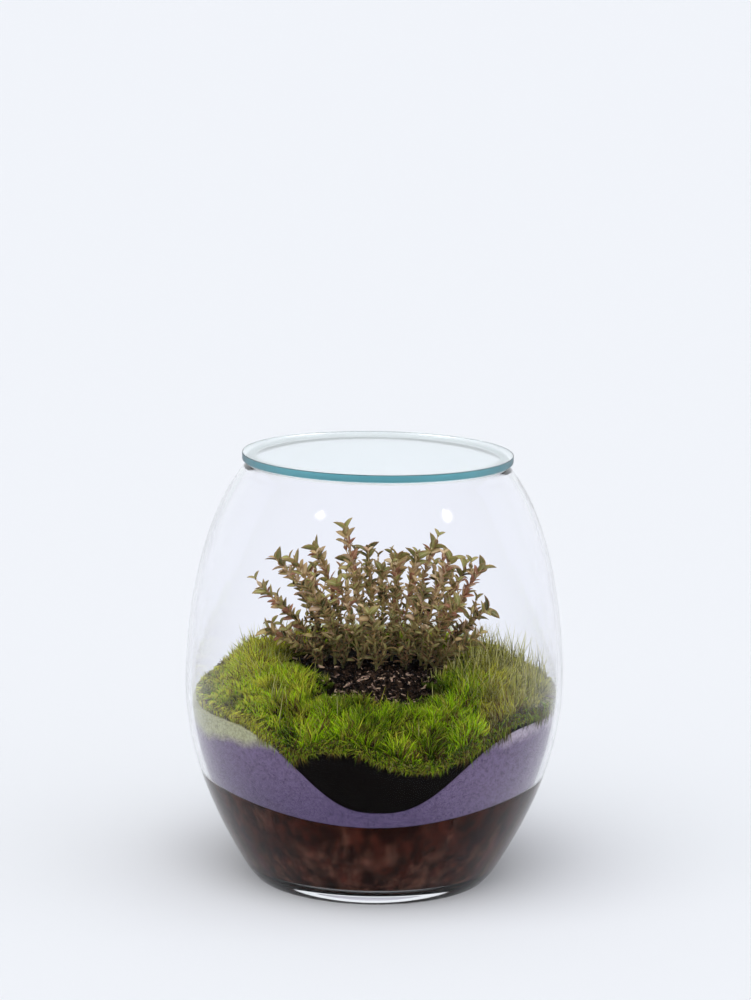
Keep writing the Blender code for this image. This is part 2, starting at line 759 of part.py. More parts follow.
def make_moss(pad, taken):
    """One moss pad: a low base with a coat of blades, clear of the plant and the glass."""
    name, first, last, inner_index, count, tallest, colour = pad
    angles = pad_angles(first, last)
    body = pad_mesh(inner_index, angles)
    surface = BVHTree.FromBMesh(body)
    base = add_object(name, body, finish_material(name, colour, 0.8))
    rng = random.Random(f"{name}{SEED}")
    inner = SOIL_STATIONS[inner_index]
    roots, blades = [], []
    for _ in range(count * BLADE_TRIES):
        if len(blades) == count:
            break
        angle = rng.uniform(angles[0], angles[-1])
        share = math.sqrt(rng.uniform(inner ** 2, BLADE_OUTERMOST ** 2))
        radius = share * soil_reach(angle)
        top = surface.ray_cast(polar(radius, angle, RIM_HEIGHT), Vector((0.0, 0.0, -1.0)))[0]
        if top is None or top.z - soil_top(share, angle) < BLADE_MIN_DEPTH:
            continue
        root = top - Vector((0.0, 0.0, BLADE_ROOT))
        length = rng.uniform(BLADE_SHORTEST, tallest)
        lean = math.radians(rng.uniform(*BLADE_LEAN))
        way = rng.uniform(0.0, 2.0 * math.pi)
        sideways = math.sin(lean)
        tip = root + length * Vector((sideways * math.cos(way), sideways * math.sin(way), math.cos(lean)))
        spaced = all((root - other).length > BLADE_SPACING for other in roots)
        if spaced and blade_fits(root, tip, angles) and blade_is_free(root, tip, taken):
            roots.append(root)
            blades.append(blade_mesh(root, tip, way))
    combine(base, blades, "UNION")


def main():
    """Build the terrarium from the glass inwards."""
    clear_scene()
    make_jar()
    make_lid()
    make_drainage()
    make_sand()
    shoots = plan_shoots()
    taken = grow_leaves(shoots)
    make_soil(shoots)
    make_shoots(shoots)
    for pad in MOSS_PADS:
        make_moss(pad, taken)


if __name__ == "__main__":
    main()
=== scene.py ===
"""The looks of a closed, planted terrarium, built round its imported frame.

The frame gives the sizes; each piece here replaces one of its nodes with a finer one of the same form.
Angles round the jar's axis start at the front, which faces -Y, and grow to the right.
All sizes are in metres unless a name says otherwise.
"""

import math
import random
from functools import partial

import bmesh
import bpy
import numpy as np
from mathutils import Matrix, Vector, noise


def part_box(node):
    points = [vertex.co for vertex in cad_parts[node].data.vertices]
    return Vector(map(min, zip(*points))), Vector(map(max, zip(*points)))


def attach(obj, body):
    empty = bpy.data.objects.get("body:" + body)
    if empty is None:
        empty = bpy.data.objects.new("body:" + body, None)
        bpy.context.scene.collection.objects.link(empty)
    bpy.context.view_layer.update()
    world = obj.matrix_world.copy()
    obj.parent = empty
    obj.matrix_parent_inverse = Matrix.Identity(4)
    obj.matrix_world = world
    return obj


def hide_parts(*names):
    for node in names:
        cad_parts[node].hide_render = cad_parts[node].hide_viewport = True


bl_info = {
    "name": "Planted terrarium",
    "version": (1, 0, 0),
    "blender": (4, 5, 0),
    "location": "View3D > Sidebar > Terrarium",
    "description": "Builds a glass jar with its lid, planting layers, moss and a bushy plant",
    "category": "Object",
}

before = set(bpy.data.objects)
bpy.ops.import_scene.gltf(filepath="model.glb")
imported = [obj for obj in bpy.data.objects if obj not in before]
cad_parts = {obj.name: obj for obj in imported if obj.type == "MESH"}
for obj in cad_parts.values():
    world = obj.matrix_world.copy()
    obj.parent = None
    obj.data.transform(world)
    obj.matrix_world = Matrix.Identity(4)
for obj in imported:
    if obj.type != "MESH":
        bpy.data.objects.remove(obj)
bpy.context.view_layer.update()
LID_LOW, LID_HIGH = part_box("lid")
JAR_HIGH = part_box("jar")[1]

# The jar's outer outline: two Bezier curves that meet at the belly.
FOOT_RADIUS = 0.0650
BELLY_HEIGHT = 0.1105
RIM_RADIUS = 0.0700
RIM_HEIGHT = JAR_HIGH.z
BELLY_RADIUS = JAR_HIGH.x
FOOT_PULL = (0.0252, 0.0382)
BELLY_PULL_DOWN = 0.0353
BELLY_PULL_UP = 0.0235
RIM_PULL = (0.0300, 0.0333)
OUTSIDE_SPAN = (0.05, 0.985)
INSIDE_SPAN = (0.24, 0.95)
CURVE_STEP = 1e-4
OUTLINE_STEPS = 26

# The foot, the floor and the rim.
WALL = 0.0030
FLOOR_HEIGHT = 0.0080
FLOOR_RADIUS = 0.0500
FLOOR_CORNER = ((0.0605, 0.0098), (0.0685, 0.0145))
FLOOR = ((0.0560, 0.0084), (FLOOR_RADIUS, FLOOR_HEIGHT), (0.0250, FLOOR_HEIGHT), (0.0, FLOOR_HEIGHT))
FOOT_HOLLOW = ((0.0, 0.0020), (0.0160, 0.0019), (0.0320, 0.0012), (0.0420, 0.0004))
FOOT_FLAT = (0.0480, 0.0615)
FOOT_CORNER = ((0.0637, 0.0005), (0.0652, 0.0016))
# Radii across the rim, each with how far it lies below the top; the faces this near the top are ground.
RIM_TOP = ((0.0697, 0.0002), (0.0690, 0.0), (0.0672, 0.0), (0.0666, 0.0004))
RIM_GROUND = 0.0012
RIM_INSIDE = (0.0664, 0.2312)
LID_CHAMFER = 0.0003
# The lid's edges that turn by more than these degrees stay crisp.
LID_SHARP_ANGLE = 18.0

# What touches keeps this gap.
GAP = 0.0003

# Damp gravel and soil touch the glass, so there they are drawn this far into it; dry sand keeps the gap.
# Moss hangs down between the soil and the glass, so it is drawn a little further in.
WET = 0.0001
PRESSED = GAP + WET + 0.00006

# A layer's edges that turn by more than these degrees stay crisp.
LAYER_SHARP_ANGLE = 50.0

# Drainage layer.
DRAIN_EDGE = 0.0615
DRAIN_FRONT_DIP = 0.0108
DRAIN_DIP_POWER = 3
DRAIN_MIDDLE = 0.0580

# Sand.
SAND_EDGE = 0.1008
SAND_DIP_LEVEL = 0.0597
SAND_DIP_ANGLE = 2.0
SAND_DIP_LEFT = 28.0
SAND_DIP_RIGHT = 29.5
SAND_DIP_POWER = 2.7
SAND_MIDDLE = 0.0740
# Beyond this share of its radius, the sand's top is the strip between the soil and the glass.
SAND_STRIP = 0.96

# Soil.
SOIL_EDGE = 0.955
SOIL_TOUCH_LEFT = -24.0
SOIL_TOUCH_RIGHT = 60.0
SOIL_TOUCH_FADE = 16.0
SOIL_MOUND = 0.1180
SOIL_MOUND_POWER = 2.2
SOIL_MIN_DEPTH = 0.0032
SOIL_FRONT_LEVEL = 0.0886
SOIL_FRONT_WAVE = 0.0060
SOIL_FRONT_CREST = -10.0
SOIL_FRONT_WAVELENGTH = 50.0
SOIL_ROUGHNESS = 0.0006

# Crumbs and bits: most lie in front, round this angle with this spread, and within this share of the soil.
STREWN_FRONT_SHARE = 0.72
STREWN_FRONT = (8.0, 34.0)
STREWN_REACH = 0.66
STREWN_TILT = 0.45

# Moss pads: name, CAD node, slot, first and last angle, inner edge's share of the radius, how much
# of the radius the blades take to reach full height, tufts, blades, wisps, shortest and tallest blade.
MOSS_PADS = (
    ("moss_pad_front", "moss_front", "moss_bright",
     -30.0, 37.5, 0.57, 0.24, 125, 9500, 40, 0.0070, 0.0150),
    ("moss_pad_right", "moss_right", "moss_olive",
     37.5, 105.0, 0.42, 0.26, 140, 10000, 420, 0.0080, 0.0190),
    ("moss_pad_back_right", "moss_back_right", "moss_mid",
     105.0, 180.0, 0.57, 0.10, 140, 6200, 300, 0.0075, 0.0150),
    ("moss_pad_back_left", "moss_back_left", "moss_mid",
     180.0, 262.5, 0.57, 0.10, 150, 6600, 100, 0.0075, 0.0150),
    ("moss_pad_left", "moss_left", "moss_mid",
     262.5, 330.0, 0.42, 0.26, 160, 11000, 110, 0.0075, 0.0155),
)
# Where the moss turns from green to olive at the right, to yellow at the left and behind, in millimetres.
OLIVE_FROM = 57.0
YELLOW_TO = -38.0
BEHIND_FROM = 5.0
# Tufts: how close the blades crowd, how they lean and stray, how much the tufts differ in height, and
# the angle round which the blades are shortest, with how far that spreads and how much they lose.
TRIED_PER_BLADE = 1.9
TUFT_RADIUS = 0.0055
TUFT_CROWD = 0.68
TUFT_LEAN = 0.60
TUFT_HEIGHTS = (0.50, 1.25)
BLADE_STRAY = (0.24, 0.34)
BLADE_FLATNESS = 0.6
EDGE_GROWTH = 0.25
SHORTEST_AT = 95.0
SHORTEST_SPREAD = 38.0
SHORTEST_SHARE = 0.50
# Wisps: their half width, their length as a share of the tallest blade, and their rows of the map.
WISP_RADIUS = 0.00024
WISP_SHARE = (0.75, 1.70)
WISP_STRAY = (0.10, 0.28)
WISP_ROW = (0.60, 0.95)
# Fringe: how far in and up it roots, how far it drops in front of the soil and how much more beside it.
FRINGE_PER_DEGREE = 26
FRINGE_RADIUS = 0.00030
FRINGE_ROOT = 0.0012
FRINGE_RISE = 0.0064
FRINGE_DROP = (0.0034, 0.0046)
FRINGE_LONG = 0.0042
FRINGE_LONGEST = 0.0085
FRINGE_SLANT = 1.5
FRINGE_STANDOFF = 0.0034
# Shares of dry and dead blades, and the rows of the map that they and the fringe take.
DRY_SHARE = 0.08
DRY_ROWS = (0.62, 0.85)
DEAD_SHARES = (0.42, 0.03)
DEAD_ROW = 0.03
DUSTY_ROWS = (0.52, 0.74)
FRESH_ROWS = (0.24, 0.70)
PIT_SHADE = 0.55
PLANT_SHADE = 0.34
# The moss is low and thin along the glass at the left.
LEFT_RIM = (-125.0, -36.0)
LEFT_RIM_SHARE = (0.70, 0.93)
LEFT_RIM_STUNTED = 0.68
LEFT_RIM_THINNED = 0.80
# Room that blades keep to the glass at their sides, roots and tips, and to the stems.
BLADE_ROOM = 0.0001
ROOT_ROOM = 0.0004
TIP_ROOM = 0.0006
STEM_ROOM = 0.0016
# How high in the pad blades root, as shares of its depth.
ROOT_DEPTH = (0.15, 0.75)
# The pads' own shape, as in the frame.
MOSS_DEPTH = 0.0065
MOSS_LUMP = 0.0020
MOSS_LUMPS_ROUND = 20
MOSS_EDGE_DEPTH = 0.0012
MOSS_GLASS_DEPTH = 0.0042
MOSS_DOME_POWER = 3
MOSS_WAVES_ACROSS = 9.0
MOSS_SIDE_GAP = 0.0003

# Plant: where each shoot ends, in millimetres (right, back, up).
MILLIMETRE = 0.001
SHOOT_TIPS = (
    (-60, -4, 157), (-53, 9, 172), (-44, -9, 175), (-57, -15, 138), (-33, 6, 180), (-36, -25, 163),
    (-17, 2, 192), (-20, -29, 167), (-5, 11, 178), (3, -19, 173), (12, 15, 174), (22, -6, 178),
    (31, 5, 183), (26, -30, 164), (41, -5, 177), (49, 12, 168), (58, 2, 171), (61, -9, 151),
    (54, -17, 135), (45, -26, 156), (-39, 31, 162), (-14, 35, 168), (13, 35, 167), (39, 30, 163),
    (-3, -37, 153),
)
# The slots that the shoots take in turn, with how much their tone is lifted.
SHOOT_SLOTS = (("leaf_bronze", 0.0), ("leaf_tan", 0.06), ("leaf_olive", -0.10), ("leaf_red", 0.12))
BASE_SHRINK = 0.54
BASE_SHIFT = (0.0030, 0.0060)
STEM_DEPTH = 0.0100
STEM_RADIUS = 0.0011
STEM_BOW = (0.22, 0.55)
STEM_PROBES = 24
STEM_STEPS = 9
TWIG_STEPS = 3
STEM_WIDTHS = (0.00085, 0.00045)
TWIG_WIDTHS = (0.00048, 0.00034)
TWIG_SHARES = (0.06, 0.14, 0.26, 0.38, 0.50, 0.62, 0.74, 0.86)
TWIG_LENGTHS = (0.008, 0.015)
TWIG_SIZES = (0.60, 0.85)
# Leaves: the share of the pairs that is skipped is higher between the two bare shares of the stem.
# The twist is in radians and the other angles are in degrees. The three top pairs are larger.
LOWEST_PAIR = 0.04
BARE = (0.12, 0.40)
SKIPPED = (0.10, 0.40)
LEAF_TWIST = 0.55
LEAF_SINK = 0.0004
LEAF_BEND_AT = 0.48
LEAF_RISE = (42.0, 29.0)
TOP_RISE = 33.0
TOP_SIZES = (1.38, 1.28, 1.15)
LEAF_RECURVE = 22.0
TIP_RECURVE = 10.0
LEAF_SWAY = 11.0
LEAF_FOLD = 0.28
LEAF_LOWEST = 0.0015
LEAF_EASE = 0.55
TWIG_EASE = 0.45
LEAF_ROLL = (15.0, 60.0)
LEAF_TURNS = (0, 22, -22, 45, -45, 70, -70)
LEAF_SCALES = (1.0, 0.82, 0.66)
LEAF_PROBES = ((0.12, 0.3), (0.35, 0.85), (0.55, 1.0), (0.75, 0.7), (0.97, 0.15))
CLEAR = 0.0005
GLASS_CLEAR = 0.0020
# The plant's extent, for the leaves' tones: fresh ones at the tips, red ones at the sides, painted shade low
# down.
PLANT_LOW = 0.118
PLANT_RISE = 0.065
PLANT_HALF_WIDTH = 0.060
TOP_LEVEL = (0.26, 0.08)
RED_SHARE = 0.30
RED_LEVEL = 0.96
SEED = 7

# The map that each blade and leaf is coloured by: along it, and across its row of shades.
SHADE_MAP = "OFBake"
LEAF_SHADES = 10
MAP_INSIDE = (0.004, 0.996)

# Which output of a mix node holds its colour.
MIX_RESULT = 2

# The studio floor, just under the jar's foot, the lamps, and the camera: its place, its turn and pitch
# in radians, and its roll in degrees.
STUDIO_REACH = 40.0
STUDIO_LEVEL = -0.00005
FILL_SHARE = 0.60
LAMP_AIM = (0.0, 0.0, 0.14)
CAMERA_PLACE = (0.0, -1.783, 0.533)
CAMERA_YAW = 0.0005
CAMERA_PITCH = 0.1789
CAMERA_ROLL = 1.0


def linear(hex_colour):
    """Turn an sRGB hex colour into linear red, green, blue and alpha."""
    levels = [int(hex_colour[i:i + 2], 16) / 255 for i in (1, 3, 5)]
    return (*[c / 12.92 if c <= 0.04045 else ((c + 0.055) / 1.055) ** 2.4 for c in levels], 1.0)


def colour_setting(name, description, hex_colour):
    """A colour that the user can change."""
    return bpy.props.FloatVectorProperty(
        name=name, description=description, default=linear(hex_colour),
        subtype="COLOR", size=4, min=0.0, max=1.0,
    )


def number(name, description, default, **kind):
    """A number that the user can change."""
    return bpy.props.FloatProperty(name=name, description=description, default=default, **kind)


class GlassSettings(bpy.types.PropertyGroup):
    """Sizes and colours of the jar and its lid."""

    sides: bpy.props.IntProperty(name="Sides", description="Faces round the jar", default=128, min=48)
    tint: colour_setting("Glass tint", "Colour of light through the jar", "#fdfdff")
    rim_roughness: number("Rim roughness", "Roughness of the jar's ground rim", 0.6, subtype="FACTOR")
    rim_clear: number("Rim clearness", "How clear the ground rim is", 0.55, subtype="FACTOR")
    mirror: number(
        "Mirror", "Share of the face-on reflection that a lens filter lets by", 0.015, subtype="FACTOR"
    )
    lid_tint: colour_setting("Lid tint", "What is left of white light in the lid's depth", "#4fe4ef")
    lid_density: number("Lid density", "How fast the lid takes up red light, per metre", 11.0, min=0.0)
    edge_roughness: number("Edge roughness", "Roughness of the lid's ground edge", 0.45, subtype="FACTOR")


class LayerSettings(bpy.types.PropertyGroup):
    """Colours and grain of the drainage, the sand and the soil."""

    gravel: colour_setting("Gravel", "Damp drainage gravel", "#1c0805")
    gravel_rust: colour_setting("Gravel rust", "Reddish patches in the gravel", "#4e2319")
    gravel_haze: colour_setting("Gravel haze", "Dusty streaks on the gravel", "#80594a")
    sand: colour_setting("Sand", "Lilac grey sand", "#776888")
    sand_damp: colour_setting("Damp sand", "Sand low down, where it is damp", "#615476")
    sand_dry: colour_setting("Dry sand", "Sand at the top, where it is dry", "#b9adbf")
    sand_moss_dust_and_light: colour_setting("Mossy sand", "Dry sand at the left, green with moss dust", "#b4b592")
    soil: colour_setting("Soil", "Moist peat", "#050303")
    crumb: colour_setting("Crumb", "Lighter crumbs of peat", "#0c0806")
    crumb_loose: colour_setting("Loose crumb", "Crumbs that lie on the soil", "#4a382c")
    bit: colour_setting("Bark bit", "Small bits of bark", "#a08070")
    bit_dark: colour_setting("Dark bark bit", "The darkest bits", "#3f2f28")
    bit_pale: colour_setting("Pale bark bit", "The palest bits", "#c0a58a")
    crumbs: bpy.props.IntProperty(name="Crumbs", description="Crumbs on the soil", default=1500, min=0)
    bits: bpy.props.IntProperty(name="Bark bits", description="Bits of bark on the soil", default=330, min=0)


class MossSettings(bpy.types.PropertyGroup):
    """Blades and colours of the moss."""

    density: number("Density", "Share of the blades that are made", 1.0, subtype="FACTOR")
    blade_radius: number("Blade radius", "Half a blade's width", 0.00040, unit="LENGTH")
    root: colour_setting("Root", "Shaded roots of the moss", "#0e0f03")
    deep: colour_setting("Deep green", "Darkest blades", "#466206")
    bright: colour_setting("Bright green", "Most of the front pad", "#a8dc00")
    yellow: colour_setting("Yellow green", "The left pad", "#dad642")
    olive: colour_setting("Olive", "The right pad", "#8a8a28")
    straw: colour_setting("Straw", "Dry, wispy blades", "#d2cc8a")
    brown: colour_setting("Brown", "Dead blades", "#6f5628")


class PlantSettings(bpy.types.PropertyGroup):
    """Sizes and colours of the leafy shoots."""

    leaf_length: number("Leaf length", "Length of a full leaf", 0.0069, unit="LENGTH")
    leaf_width: number("Leaf width", "Width of a full leaf", 0.0029, unit="LENGTH")
    leaf_thickness: number("Leaf thickness", "Thickness of a leaf", 0.00030, unit="LENGTH")
    pairs: bpy.props.IntProperty(name="Pairs", description="Pairs of leaves up each shoot", default=32, min=2)
    twig_pairs: bpy.props.IntProperty(
        name="Twig pairs", description="Pairs of leaves up each side twig", default=3, min=1
    )
    shade: colour_setting("Shaded leaf", "Low leaves", "#2a3a14")
    green: colour_setting("Green leaf", "Middle leaves", "#a09e5a")
    bronze: colour_setting("Bronze leaf", "Upper leaves", "#c4a674")
    tan: colour_setting("Tan leaf", "Lit leaves", "#dfcaa6")
    red: colour_setting("Red leaf", "Reddish margins and tips", "#a5735a")


class StageSettings(bpy.types.PropertyGroup):
    """Floor, backdrop, lamps and camera."""

    floor: colour_setting("Floor", "Pale floor", "#e6e9ef")
    backdrop: colour_setting("Backdrop", "Backdrop level with the object", "#f4f8fc")
    overhead: colour_setting("Overhead", "Studio above the lamps", "#cfcfdb")
    ambient: number("Ambient", "Light from all sides", 0.40, min=0.0)
    key_power: number("Key", "Strength of the key sun", 1.75, min=0.0)
    softbox_power: number("Softboxes", "Power of each softbox, in watts", 16.0, min=0.0)
    lens: number("Lens", "Focal length", 119.34, unit="CAMERA")


def polar(radius, degrees, height):
    """Points at a radius and angle round the jar's axis."""
    angle = np.radians(degrees)
    return np.stack(np.broadcast_arrays(radius * np.sin(angle), -radius * np.cos(angle), height), -1)


def bezier(points, t):
    """A point on a cubic Bezier curve of (radius, height) points."""
    weights = ((1 - t) ** 3, 3 * t * (1 - t) ** 2, 3 * t * t * (1 - t), t ** 3)
    return tuple(sum(w * p[axis] for w, p in zip(weights, points)) for axis in (0, 1))


def outer_curves():
    """The two curves of the jar's outside, below and above the belly."""
    foot, belly, rim = (FOOT_RADIUS, 0.0), (BELLY_RADIUS, BELLY_HEIGHT), (RIM_RADIUS, RIM_HEIGHT)
    lower = (foot, (foot[0] + FOOT_PULL[0], FOOT_PULL[1]), (belly[0], belly[1] - BELLY_PULL_DOWN), belly)
    upper = (belly, (belly[0], belly[1] + BELLY_PULL_UP), (rim[0] + RIM_PULL[0], rim[1] - RIM_PULL[1]), rim)
    return lower, upper


def offset_point(curve, t, distance):
    """A point inside the outer curve, square to it."""
    near, far = bezier(curve, t - CURVE_STEP), bezier(curve, t + CURVE_STEP)
    run = (far[0] - near[0], far[1] - near[1])
    length = math.hypot(*run)
    place = bezier(curve, t)
    return (place[0] - distance * run[1] / length, place[1] + distance * run[0] / length)


def spaced(first, last, steps):
    """Evenly spaced values from first to last."""
    return [first + (last - first) * i / steps for i in range(steps + 1)]


def inner_wall():
    """The inner wall's outline from just above the floor's corner up to the rim."""
    lower, upper = outer_curves()
    below = [offset_point(lower, t, WALL) for t in spaced(INSIDE_SPAN[0], 1.0, OUTLINE_STEPS)]
    return below + [offset_point(upper, t, WALL) for t in spaced(0.0, INSIDE_SPAN[1], OUTLINE_STEPS)[1:]]


INNER_WALL = inner_wall()
WALL_HEIGHTS = np.array([FLOOR_CORNER[1][1]] + [point[1] for point in INNER_WALL])
WALL_RADII = np.array([FLOOR_CORNER[1][0]] + [point[0] for point in INNER_WALL])


def wall_radius(height):
    """The largest radius of what stands against the glass at a height."""
    return np.interp(height, WALL_HEIGHTS, WALL_RADII) - GAP


def signed_angle(angle):
    """The same angle between -180 and 180 degrees."""
    return (np.asarray(angle) + 180.0) % 360.0 - 180.0


def drain_edge(angle):
    """Height of the drainage layer's top on the glass."""
    return DRAIN_EDGE - DRAIN_FRONT_DIP * np.maximum(np.cos(np.radians(angle)), 0.0) ** DRAIN_DIP_POWER


def sand_edge(angle):
    """Height of the sand's top on the glass, with the dip at the front."""
    off = signed_angle(angle) - SAND_DIP_ANGLE
    width = np.where(off < 0, SAND_DIP_LEFT, SAND_DIP_RIGHT)
    return SAND_EDGE - (SAND_EDGE - SAND_DIP_LEVEL) * np.exp(-np.abs(off / width) ** SAND_DIP_POWER)


def touch_share(angle):
    """1 where the soil reaches the glass, 0 where a rim of sand shows outside it."""
    turn = signed_angle(angle)
    off = np.maximum(np.maximum(SOIL_TOUCH_LEFT - turn, turn - SOIL_TOUCH_RIGHT), 0.0)
    share = np.minimum(off / SOIL_TOUCH_FADE, 1.0)
    return 1.0 - share * share * (3.0 - 2.0 * share)


def soil_edge(angle):
    """The soil's outer edge as a share of the glass's radius."""
    return SOIL_EDGE + (1.0 - SOIL_EDGE) * touch_share(angle)


def soil_top_edge(angle):
    """Height of the soil's top at its outer edge."""
    phase = 2.0 * np.pi * (signed_angle(angle) - SOIL_FRONT_CREST) / SOIL_FRONT_WAVELENGTH
    return np.maximum(SOIL_FRONT_LEVEL + SOIL_FRONT_WAVE * np.cos(phase), sand_edge(angle) + SOIL_MIN_DEPTH)


def soil_reach(angle):
    """The soil's outer radius at the level of its top."""
    return soil_edge(angle) * wall_radius(soil_top_edge(angle))


def soil_top(share, angle):
    """Height of the soil's top at a share of its outer radius."""
    return SOIL_MOUND + (soil_top_edge(angle) - SOIL_MOUND) * share ** SOIL_MOUND_POWER


def soil_height_at(x, y):
    """Height of the soil's top over a point of the plan."""
    angle = np.degrees(np.arctan2(x, -y))
    return soil_top(np.hypot(x, y) / soil_reach(angle), angle)


def rim_share(share, angle):
    """How far a place lies in the low rim of moss at the left, from 0 to 1."""
    turn = signed_angle(angle)
    left = np.clip((turn - LEFT_RIM[0]) / 15.0, 0.0, 1.0) * np.clip((LEFT_RIM[1] - turn) / 10.0, 0.0, 1.0)
    return left * np.clip((share - LEFT_RIM_SHARE[0]) / (LEFT_RIM_SHARE[1] - LEFT_RIM_SHARE[0]), 0.0, 1.0)


def pad_depth(inner, share, angle):
    """Thickness of a moss pad at a share of the soil's radius."""
    across = (share - inner) / (1.0 - inner)
    wave = np.sin(np.radians(angle) * MOSS_LUMPS_ROUND) * np.cos(MOSS_WAVES_ACROSS * across)
    dome = (MOSS_DEPTH + MOSS_LUMP * wave) * (1.0 - np.abs(2.0 * across - 1.0) ** MOSS_DOME_POWER)
    depth = np.maximum(dome, MOSS_EDGE_DEPTH + (MOSS_GLASS_DEPTH - MOSS_EDGE_DEPTH) * across)
    return depth * (1.0 - LEFT_RIM_THINNED * rim_share(share, angle))


def cover_depth(share, angle):
    """Thickness of the moss over a place, or 0 where the soil is bare."""
    for _, _, _, first, last, inner, *_ in MOSS_PADS:
        if first <= angle % 360.0 < last or first <= signed_angle(angle) < last:
            return float(pad_depth(inner, share, angle)) + GAP if share > inner else 0.0
    return 0.0


def deselect():
    """Leave nothing selected, so that an operator acts on the next piece alone."""
    bpy.ops.object.select_all(action="DESELECT")


def named(name):
    """Name the object that was just made, and its mesh."""
    piece = bpy.context.object
    piece.name = name
    piece.data.name = name
    return piece


def primitive(kind, name, **sizes):
    """Add a mesh primitive to start a piece from."""
    deselect()
    getattr(bpy.ops.mesh, f"primitive_{kind}_add")(**sizes)
    return named(name)


def edit(piece, mode, action="DESELECT"):
    """Open a piece in edit mode in one select mode, with nothing selected or all of it."""
    bpy.context.view_layer.objects.active = piece
    bpy.ops.object.mode_set(mode="EDIT")
    bpy.ops.mesh.select_mode(type=mode)
    bpy.ops.mesh.select_all(action=action)
    return bmesh.from_edit_mesh(piece.data)


def choose(piece, items, test):
    """Select the vertices, edges or faces that pass a test."""
    for item in items:
        item.select_set(bool(test(item)))
    bmesh.update_edit_mesh(piece.data)


def extrude(offset):
    """Extrude what is selected and move it by an offset."""
    bpy.ops.mesh.extrude_region_move(TRANSFORM_OT_translate={"value": offset})


def leave_edit():
    """Back to object mode."""
    bpy.ops.object.mode_set(mode="OBJECT")


def face_outward():
    """Turn every face of the open piece outward, and go back to object mode."""
    bpy.ops.mesh.select_all(action="SELECT")
    bpy.ops.mesh.normals_make_consistent(inside=False)
    leave_edit()


def coordinates(mesh):
    """A mesh's vertices as an array."""
    flat = np.empty(len(mesh.vertices) * 3)
    mesh.vertices.foreach_get("co", flat)
    return flat.reshape(-1, 3)


def set_coordinates(mesh, places):
    """Move a mesh's vertices to an array of places."""
    mesh.vertices.foreach_set("co", np.ascontiguousarray(places, float).ravel())
    mesh.update()


def in_scene(name, data):
    """A new object of the scene that shows some data."""
    thing = bpy.data.objects.new(name, data)
    bpy.context.scene.collection.objects.link(thing)
    return thing


def ready(piece, materials, slot, *nodes):
    """Give a piece its finish and body, and hide the nodes that it stands for; the slot is not used."""
    piece.data.materials.clear()
    for material in materials:
        piece.data.materials.append(material)
    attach(piece, "root")
    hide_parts(*nodes)


def feed(socket, value):
    """Give a socket a value, or link it to another socket or to a node's result."""
    if isinstance(value, bpy.types.Node):
        value = value.outputs[MIX_RESULT if value.bl_idname == "ShaderNodeMix" else 0]
    if isinstance(value, bpy.types.NodeSocket):
        socket.id_data.links.new(value, socket)
    else:
        socket.default_value = value


def add_node(tree, kind, sockets=(), stops=(), **settings):
    """Add one node with its settings, what its sockets are fed, and a ramp's stops."""
    node = tree.nodes.new("ShaderNode" + kind)
    for name, value in settings.items():
        setattr(node, name, value)
    for name, value in dict(sockets).items():
        feed(node.inputs[name], value)
    for _ in stops[2:]:
        node.color_ramp.elements.new(1.0)
    for index, (position, colour) in enumerate(stops):
        node.color_ramp.elements[index].position = position
        node.color_ramp.elements[index].color = colour
    return node


def new_finish(name, values):
    """A material with one Principled shader, and a call that adds nodes to it."""
    material = bpy.data.materials.new(name)
    material.use_nodes = True
    for socket, value in values.items():
        material.node_tree.nodes["Principled BSDF"].inputs[socket].default_value = value
    return material, partial(add_node, material.node_tree)


def finished(material, colour, relief=None, strength=0.0, distance=0.0):
    """Link a finish's colour, and its relief if it has one."""
    inputs = material.node_tree.nodes["Principled BSDF"].inputs
    if colour:
        feed(inputs["Base Color"], colour)
    if relief:
        sockets = {"Height": relief, "Strength": strength, "Distance": distance}
        feed(inputs["Normal"], add_node(material.node_tree, "Bump", sockets))
    return material


def grey(value):
    """A grey with alpha, for a ramp that holds a number."""
    return (value, value, value, 1.0)


def glass_values(colour, roughness, clear, settings):
    """What blown and float glass share."""
    return {
        "Base Color": colour, "Roughness": roughness, "IOR": 1.52, "Transmission Weight": clear,
        "Specular Tint": grey(settings.mirror),
    }


def let_lamps_through(material, node, tint):
    """Thin clear glass hardly shades what stands in it, so lamps shine through it."""
    nodes, light = material.node_tree.nodes, node("LightPath").outputs
    either = node("Math", {0: light["Is Shadow Ray"], 1: light["Is Diffuse Ray"]}, operation="MAXIMUM")
    clear = node("BsdfTransparent", {"Color": tint})
    mixed = node("MixShader", {0: either, 1: nodes["Principled BSDF"], 2: clear})
    feed(nodes["Material Output"].inputs["Surface"], mixed)
    return material


def blown_soda_glass(name, settings, roughness, clear=1.0):
    """Blown soda lime glass: very slightly wavy, clear and polished or ground to a pale frost."""
    material, node = new_finish(name, glass_values(settings.tint, roughness, clear, settings))
    # Blown glass thins and thickens over 30 to 40 mm.
    place = node("TexCoord").outputs["Object"]
    waves = node("TexNoise", {"Vector": place, "Scale": 28.0, "Detail": 0.0})
    return let_lamps_through(finished(material, None, waves, 0.10, 0.0010), node, grey(0.96))


def float_glass(name, settings, roughness):
    """Float glass: its iron takes up red light, so a long way through it looks teal."""
    material, node = new_finish(name, glass_values(grey(1.0), roughness, 1.0, settings))
    depth = node("VolumeAbsorption", {"Color": settings.lid_tint, "Density": settings.lid_density})
    feed(material.node_tree.nodes["Material Output"].inputs["Volume"], depth)
    return let_lamps_through(material, node, (0.94, 0.97, 0.97, 1.0))


